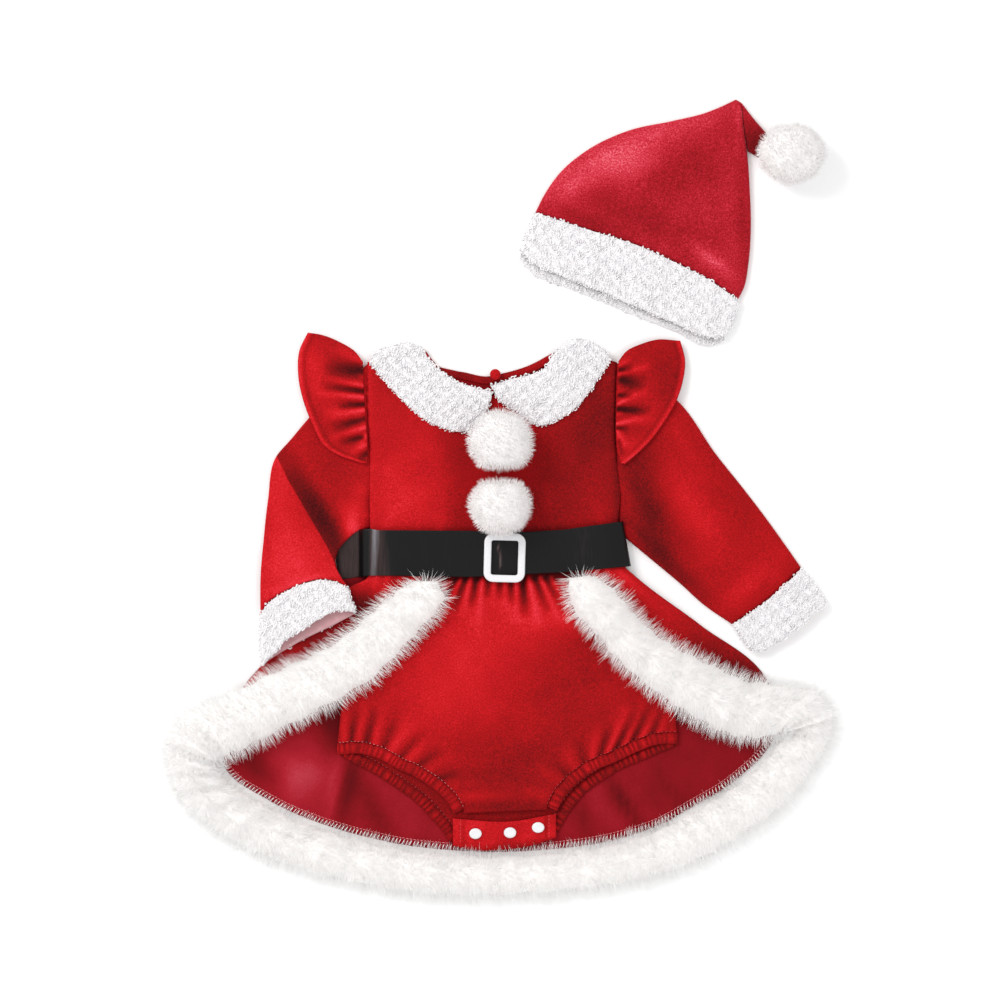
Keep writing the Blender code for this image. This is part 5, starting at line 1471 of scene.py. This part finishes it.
buckle = {
    "place": (3.9, -48.8),
    "width": 35.0,
    "length": 41.5,
    "thick": 3.0,
    "bar": 6.2,
    "corner": 5.0,
    "tilt": -1.5,
    "sides": 14,
}


def makeBuckle():
    # a moulded frame: an oval section carried round a rectangle with round corners
    x0, y0 = buckle["place"]
    thick = buckle["thick"]
    bar = buckle["bar"]
    corner = buckle["corner"]
    tilt = math.radians(buckle["tilt"])
    half = np.array([(buckle[side] - bar) / 2 - corner for side in ("width", "length")])
    points = []
    for quarter, signs in enumerate(((1, 1), (-1, 1), (-1, -1), (1, -1))):
        for step in range(9):
            turn = math.pi / 2 * (quarter + step / 8)
            out = np.array([math.cos(turn), math.sin(turn)])
            spot = np.array(signs) * half + corner * out
            for k in range(buckle["sides"]):
                angle = 2 * math.pi * k / buckle["sides"]
                c = math.copysign(abs(math.cos(angle)) ** 0.6, math.cos(angle))
                s = math.copysign(abs(math.sin(angle)) ** 0.7, math.sin(angle))
                x, y = spot + out * c * bar / 2
                points.append((x0 + x * math.cos(tilt) - y * math.sin(tilt),
                               y0 + x * math.sin(tilt) + y * math.cos(tilt),
                               beltTop + gap + thick / 2 + s * thick / 2))
    mesh = meshOf("buckle", points, gridFaces(len(points) // buckle["sides"], buckle["sides"], True, True))
    turnOut(mesh)
    finishPiece("buckleFrame", mesh, "plastic", ["buckle"])


makeBelt()
makeBuckle()
print("belt and buckle")


# Sherpa collar, cuffs and brim

collars = {
    "left": {
        "outer": [(-111, 116), (-96, 99), (-80, 82), (-65, 69), (-51, 62), (-30, 58), (-17, 65), (-9.5, 79)],
        "inner": [(-66, 130), (-62, 122), (-51, 110), (-37, 101), (-19, 95), (-6.5, 92)],
        "left end": [(-111, 116), (-106, 125), (-94, 130), (-76, 133), (-66, 130)],
        "right end": [(-9.5, 79), (-6.5, 92)],
    },
    "right": {
        "outer": [(-1, 84), (17, 73), (27, 65), (36, 63), (47, 67), (63, 77), (74, 89), (83, 102), (94, 118)],
        "inner": [(-7.5, 97), (9, 102.5), (20, 105), (31, 108), (39, 113), (44, 122), (52, 130)],
        "left end": [(-1, 84), (-7.5, 97)],
        "right end": [(94, 118), (91, 124), (79, 133), (66, 137), (52, 130)],
    },
}
curls = {"Distance": 0.0020, "Loop": 0.0016, "Thickness": 0.00062}


def addCurls(name, shell, seed):
    # the pile of a sherpa piece: loops over a copy of its outer face
    piece = addObject(name, shell.data.copy())
    runTree(piece, curlTree, {**curls, "Seed": seed, "Material": materials["sherpa"]})
    dress(piece, [])
    print(name, len(piece.data.polygons), "faces")
    return piece


def knobbly(x, y):
    # the clumps that the curls stand in
    return (0.40 * np.sin(x * 1.15 + 0.8 * np.sin(y * 0.7)) * np.sin(y * 1.05 + 0.9 * np.sin(x * 0.6))
            + 0.65 * np.sin(x * 0.47 + 1.0) * np.sin(y * 0.53 + 2.0))


def sherpaClumpShade(x, y):
    # painted shade in the hollows between the clumps and painted light on their tops
    return 0.4 + 0.25 * knobbly(x, y)


def makeCollar():
    vs = gridLines(30, 0.03)
    fullness = 0.42 + 0.5 * np.sin(math.pi * np.clip(vs, 0.0, 1.0))[None, :] ** 0.6
    for seed, side in ((51, "left"), (52, "right")):
        edges = collars[side]
        plan = patch(curve(edges["left end"]), curve(edges["right end"]), curve(edges["outer"]),
                     curve(edges["inner"]), gridLines(64, 0.012), vs)
        piece = makeSheet("collar" + side.title(), plan,
                          lambda x, y: bodiceFrontTop(x, y) + gap + 4.4 * fullness + knobbly(x, y), sherpaClumpShade,
                          "sherpa", "collar_" + side, wall=2.0, roll=1.2)
        paint(piece.data, "cover", np.ones(len(piece.data.vertices)))
        pile = addCurls("collarPile" + side.title(), piece, seed)


cuffs = {
    "left": {
        "root": [(-203, -97.5), (-197, -88.6), (-179, -76.6), (-162, -69.6), (-150, -67.6), (-138, -69.6),
                 (-128.3, -74)],
        "end": [(-201, -139), (-189, -128), (-182, -119), (-167, -110), (-150, -99), (-138, -93.5), (-121.5, -95)],
        "back end": [(-202, -140), (-190, -132), (-175, -123), (-160, -115), (-145, -108), (-130, -100),
                     (-121.5, -95.5)],
        "outer": [(-203, -97.5), (-204, -119), (-201, -139)],
        "inner": [(-128.3, -74), (-126, -83), (-121.5, -95)],
    },
    "right": {
        "root": [(256, -58.1), (228, -84.1), (197, -105.6)],
        "end": [(277, -87), (265, -98), (248, -113), (235, -121), (224, -127), (213, -128)],
        "outer": [(256, -58.1), (266, -70), (277, -87)],
        "inner": [(197, -105.6), (206, -119), (213, -128)],
    },
}
hat = {
    "crown": {
        "root": [(30, 244), (70, 231), (122, 214), (148, 202), (177, 187), (202, 170)],
        "end": [(200, 340), (205, 337)],
        "outer": [(30, 244), (37, 258), (52, 279), (74, 297), (110, 314), (147, 322), (175, 329), (192, 336),
                  (200, 340)],
        "inner": [(202, 170), (207, 180), (211, 201), (213, 229), (212, 265), (210, 293), (207, 315), (205, 337)],
    },
    "brim": {
        "root": [(29.7, 243.4), (69.7, 230.4), (121.7, 213.4), (147.7, 201.4), (176.7, 186.4), (202, 169.2)],
        "end": [(17, 212), (30, 200), (56, 188.5), (84, 177.5), (111, 165.5), (150, 149), (178, 138), (191, 139)],
        "back end": [(15, 206), (28, 192), (55, 181), (83, 170), (110, 158.5), (148, 143.5), (179, 131), (189, 135)],
        "outer": [(29.7, 243.4), (22, 229), (17, 212)],
        "inner": [(202, 169.2), (199, 154), (191, 139)],
    },
    "tip": {
        "root": [(205.3, 337), (207.4, 315), (210.4, 296)],
        "end": [(230.5, 306), (219.5, 290.5)],
        "outer": [(205.3, 337), (217.5, 321), (230.5, 306)],
        "inner": [(210.4, 296), (219.5, 290.5)],
    },
    "tone": 0.56,
    "paintedCreaseLight": 0.1,
    # patches of painted light and shade, among them a painted bright bloom and a painted highlight above the seam
    "paintedLightAndShade": [(110, 300, 78, 17, 24, 0.26), (52, 262, 22, 16, 40, 0.12), (150, 280, 30, 24, 30, -0.12),
                (119, 282, 22, 12, 24, 0.14), (104, 246, 40, 12, -24, -0.10), (180, 203, 24, 6, -39, 0.24),
                (204, 250, 60, 6, 95, -0.10), (70, 238, 30, 6, -22, -0.14), (150, 226, 26, 12, -20, -0.08)],
    "creases": [(203, 330, 196, 200, 3, 8, 0.9), (60, 262, 120, 296, 6, 12, 0.6), (140, 214, 168, 280, 5, 14, 0.5)],
}


def addLip(name, edges, seed):
    # the pile at the edge of the lower layer, where it shows beyond the upper one
    us = np.linspace(0.02, 0.98, 60)
    vs = np.linspace(0.0, 0.86, 5)[None, :, None]
    near = curve(edges["end"])(us)[:, None, :] + np.array([0.0, 1.0])
    far = curve(edges["back end"])(us)[:, None, :]
    plan = near * (1 - vs) + far * vs
    x = plan[..., 0]
    y = plan[..., 1]
    mesh = meshOf(name, surface(x, y, 2.6 + 0.4 * knobbly(x, y)), gridFaces(*x.shape), cover=np.ones_like(x))
    pointOutwards(mesh)
    base = bpy.data.objects.new(name + "Base", mesh)
    pile = addCurls(name, base, seed)
    bpy.data.objects.remove(base)
    return pile


def makeSherpaTube(name, edges, rings, columns, floor, tall, node, seed, lip=False):
    piece = makeTube(name, edges, rings, columns, floor, lambda x, y: tall + knobbly(x, y) * 0.8,
                     lambda x, y: 0.02 + sherpaClumpShade(x, y), "sherpa", node, wall=sherpaWall - 0.6)
    # few curls on the side it lies on
    paint(piece.data, "cover", np.where(read(piece, "normal")[:, 2] > -0.2, 1.0, 0.18))
    piles = [addCurls(name + "Pile", piece, seed)]
    if lip:
        piles.append(addLip(name + "Lip", edges, seed + 1))
    else:
        # the inside of a cuff shows its backing
        piece.data.materials.append(materials["sherpaBack"])
        piece.modifiers["wall"].material_offset = 1


def makeSherpa():
    makeCollar()
    makeSherpaTube("cuffLeft", cuffs["left"], 16, 34, leftArmFloor, layers["cuff"], "cuff_left", 61)
    makeSherpaTube("cuffRight", cuffs["right"], 16, 34, onFloor, layers["cuff"], "cuff_right", 63)
    makeSherpaTube("hatBrim", hat["brim"], 18, 70, onFloor, layers["brim"], "hat_brim", 65,
                   lip=True)


def crownHeight(x, y):
    return (layers["crown"] - layers["crownDrop"] * smoothstep(290, 338, y) + folds(x, y, crownFolds)
            + gathers(x, y, hat["creases"]) + 0.4 * ripple(x, y, 3))


def makeHat():
    crown = makeTube("hatCrown", hat["crown"], 62, 52, onFloor, crownHeight, lambda x, y: toneWithPaintedLight(x, y, hat),
                     "hat", "hat_crown")
    tip = makeTube("hatTip", hat["tip"], 16, 22, onFloor,
                   lambda x, y: layers["tip"] + layers["tipRise"] * smoothstep(209, 224, x),
                   lambda x, y: 0.22 + 0.28 * smoothstep(300, 330, y), "hat", "hat_tip", wall=1.6)


makeSherpa()
makeHat()
print("collar, cuffs and hat")


# Floor, light and camera

studio = {
    "floorHalf": 6.0,
    "floorHeight": -0.0005,
    "paper": "#fdfdfd",
    "skyStrength": 0.85,
    # name, place, size, power, colour
    "lights": [("keyLight", (-1.3, 1.1, 1.7), 1.1, 26.0, (1.0, 0.99, 0.98)),
               ("fillLight", (1.2, -1.0, 2.0), 1.6, 9.0, (1.0, 1.0, 1.0))],
    "distance": 2.3,       # of the camera, straight above
    "frameWidth": 0.85,    # what it sees on the table
    "sensor": 36.0,
}


def makeStudio():
    half = studio["floorHalf"]
    mesh = bpy.data.meshes.new("studioFloor")
    mesh.from_pydata([(x, y, studio["floorHeight"]) for x, y in ((-half, -half), (half, -half), (half, half),
                                                                 (-half, half))], [], [(0, 1, 2, 3)])
    material, tree = newMaterial("paperSweep")[:2]
    finishMaterial(tree, {"Base Color": srgb(studio["paper"]), "Roughness": 1.0, "Specular IOR Level": 0.0})
    mesh.materials.append(material)
    addObject("studioFloor", mesh)
    world = bpy.data.worlds.new("softWhite")
    world.use_nodes = True
    background = world.node_tree.nodes["Background"]
    background.inputs["Color"].default_value = (1.0, 1.0, 1.0, 1.0)
    background.inputs["Strength"].default_value = studio["skyStrength"]
    bpy.context.scene.world = world
    for name, place, size, power, colour in studio["lights"]:
        data = bpy.data.lights.new(name, "AREA")
        data.shape = "DISK"
        data.size = size
        data.energy = power
        data.color = colour
        light = addObject(name, data)
        light.location = place
        light.rotation_euler = (-Vector(place)).to_track_quat("-Z", "Y").to_euler()
    bpy.context.scene.view_settings.view_transform = "Standard"


def makeCamera():
    data = bpy.data.cameras.new("cameraAbove")
    data.sensor_width = studio["sensor"]
    data.lens = studio["sensor"] * studio["distance"] / studio["frameWidth"]
    camera = addObject("cameraAbove", data)
    camera.location = (-centreX * mm, -centreY * mm, studio["distance"])
    bpy.context.scene.camera = camera


makeStudio()
makeCamera()
total = sum(sum(len(face.vertices) - 2 for face in o.data.polygons) for o in bpy.context.scene.objects
            if o.type == "MESH" and "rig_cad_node" not in o)
print("triangles before walls:", total)
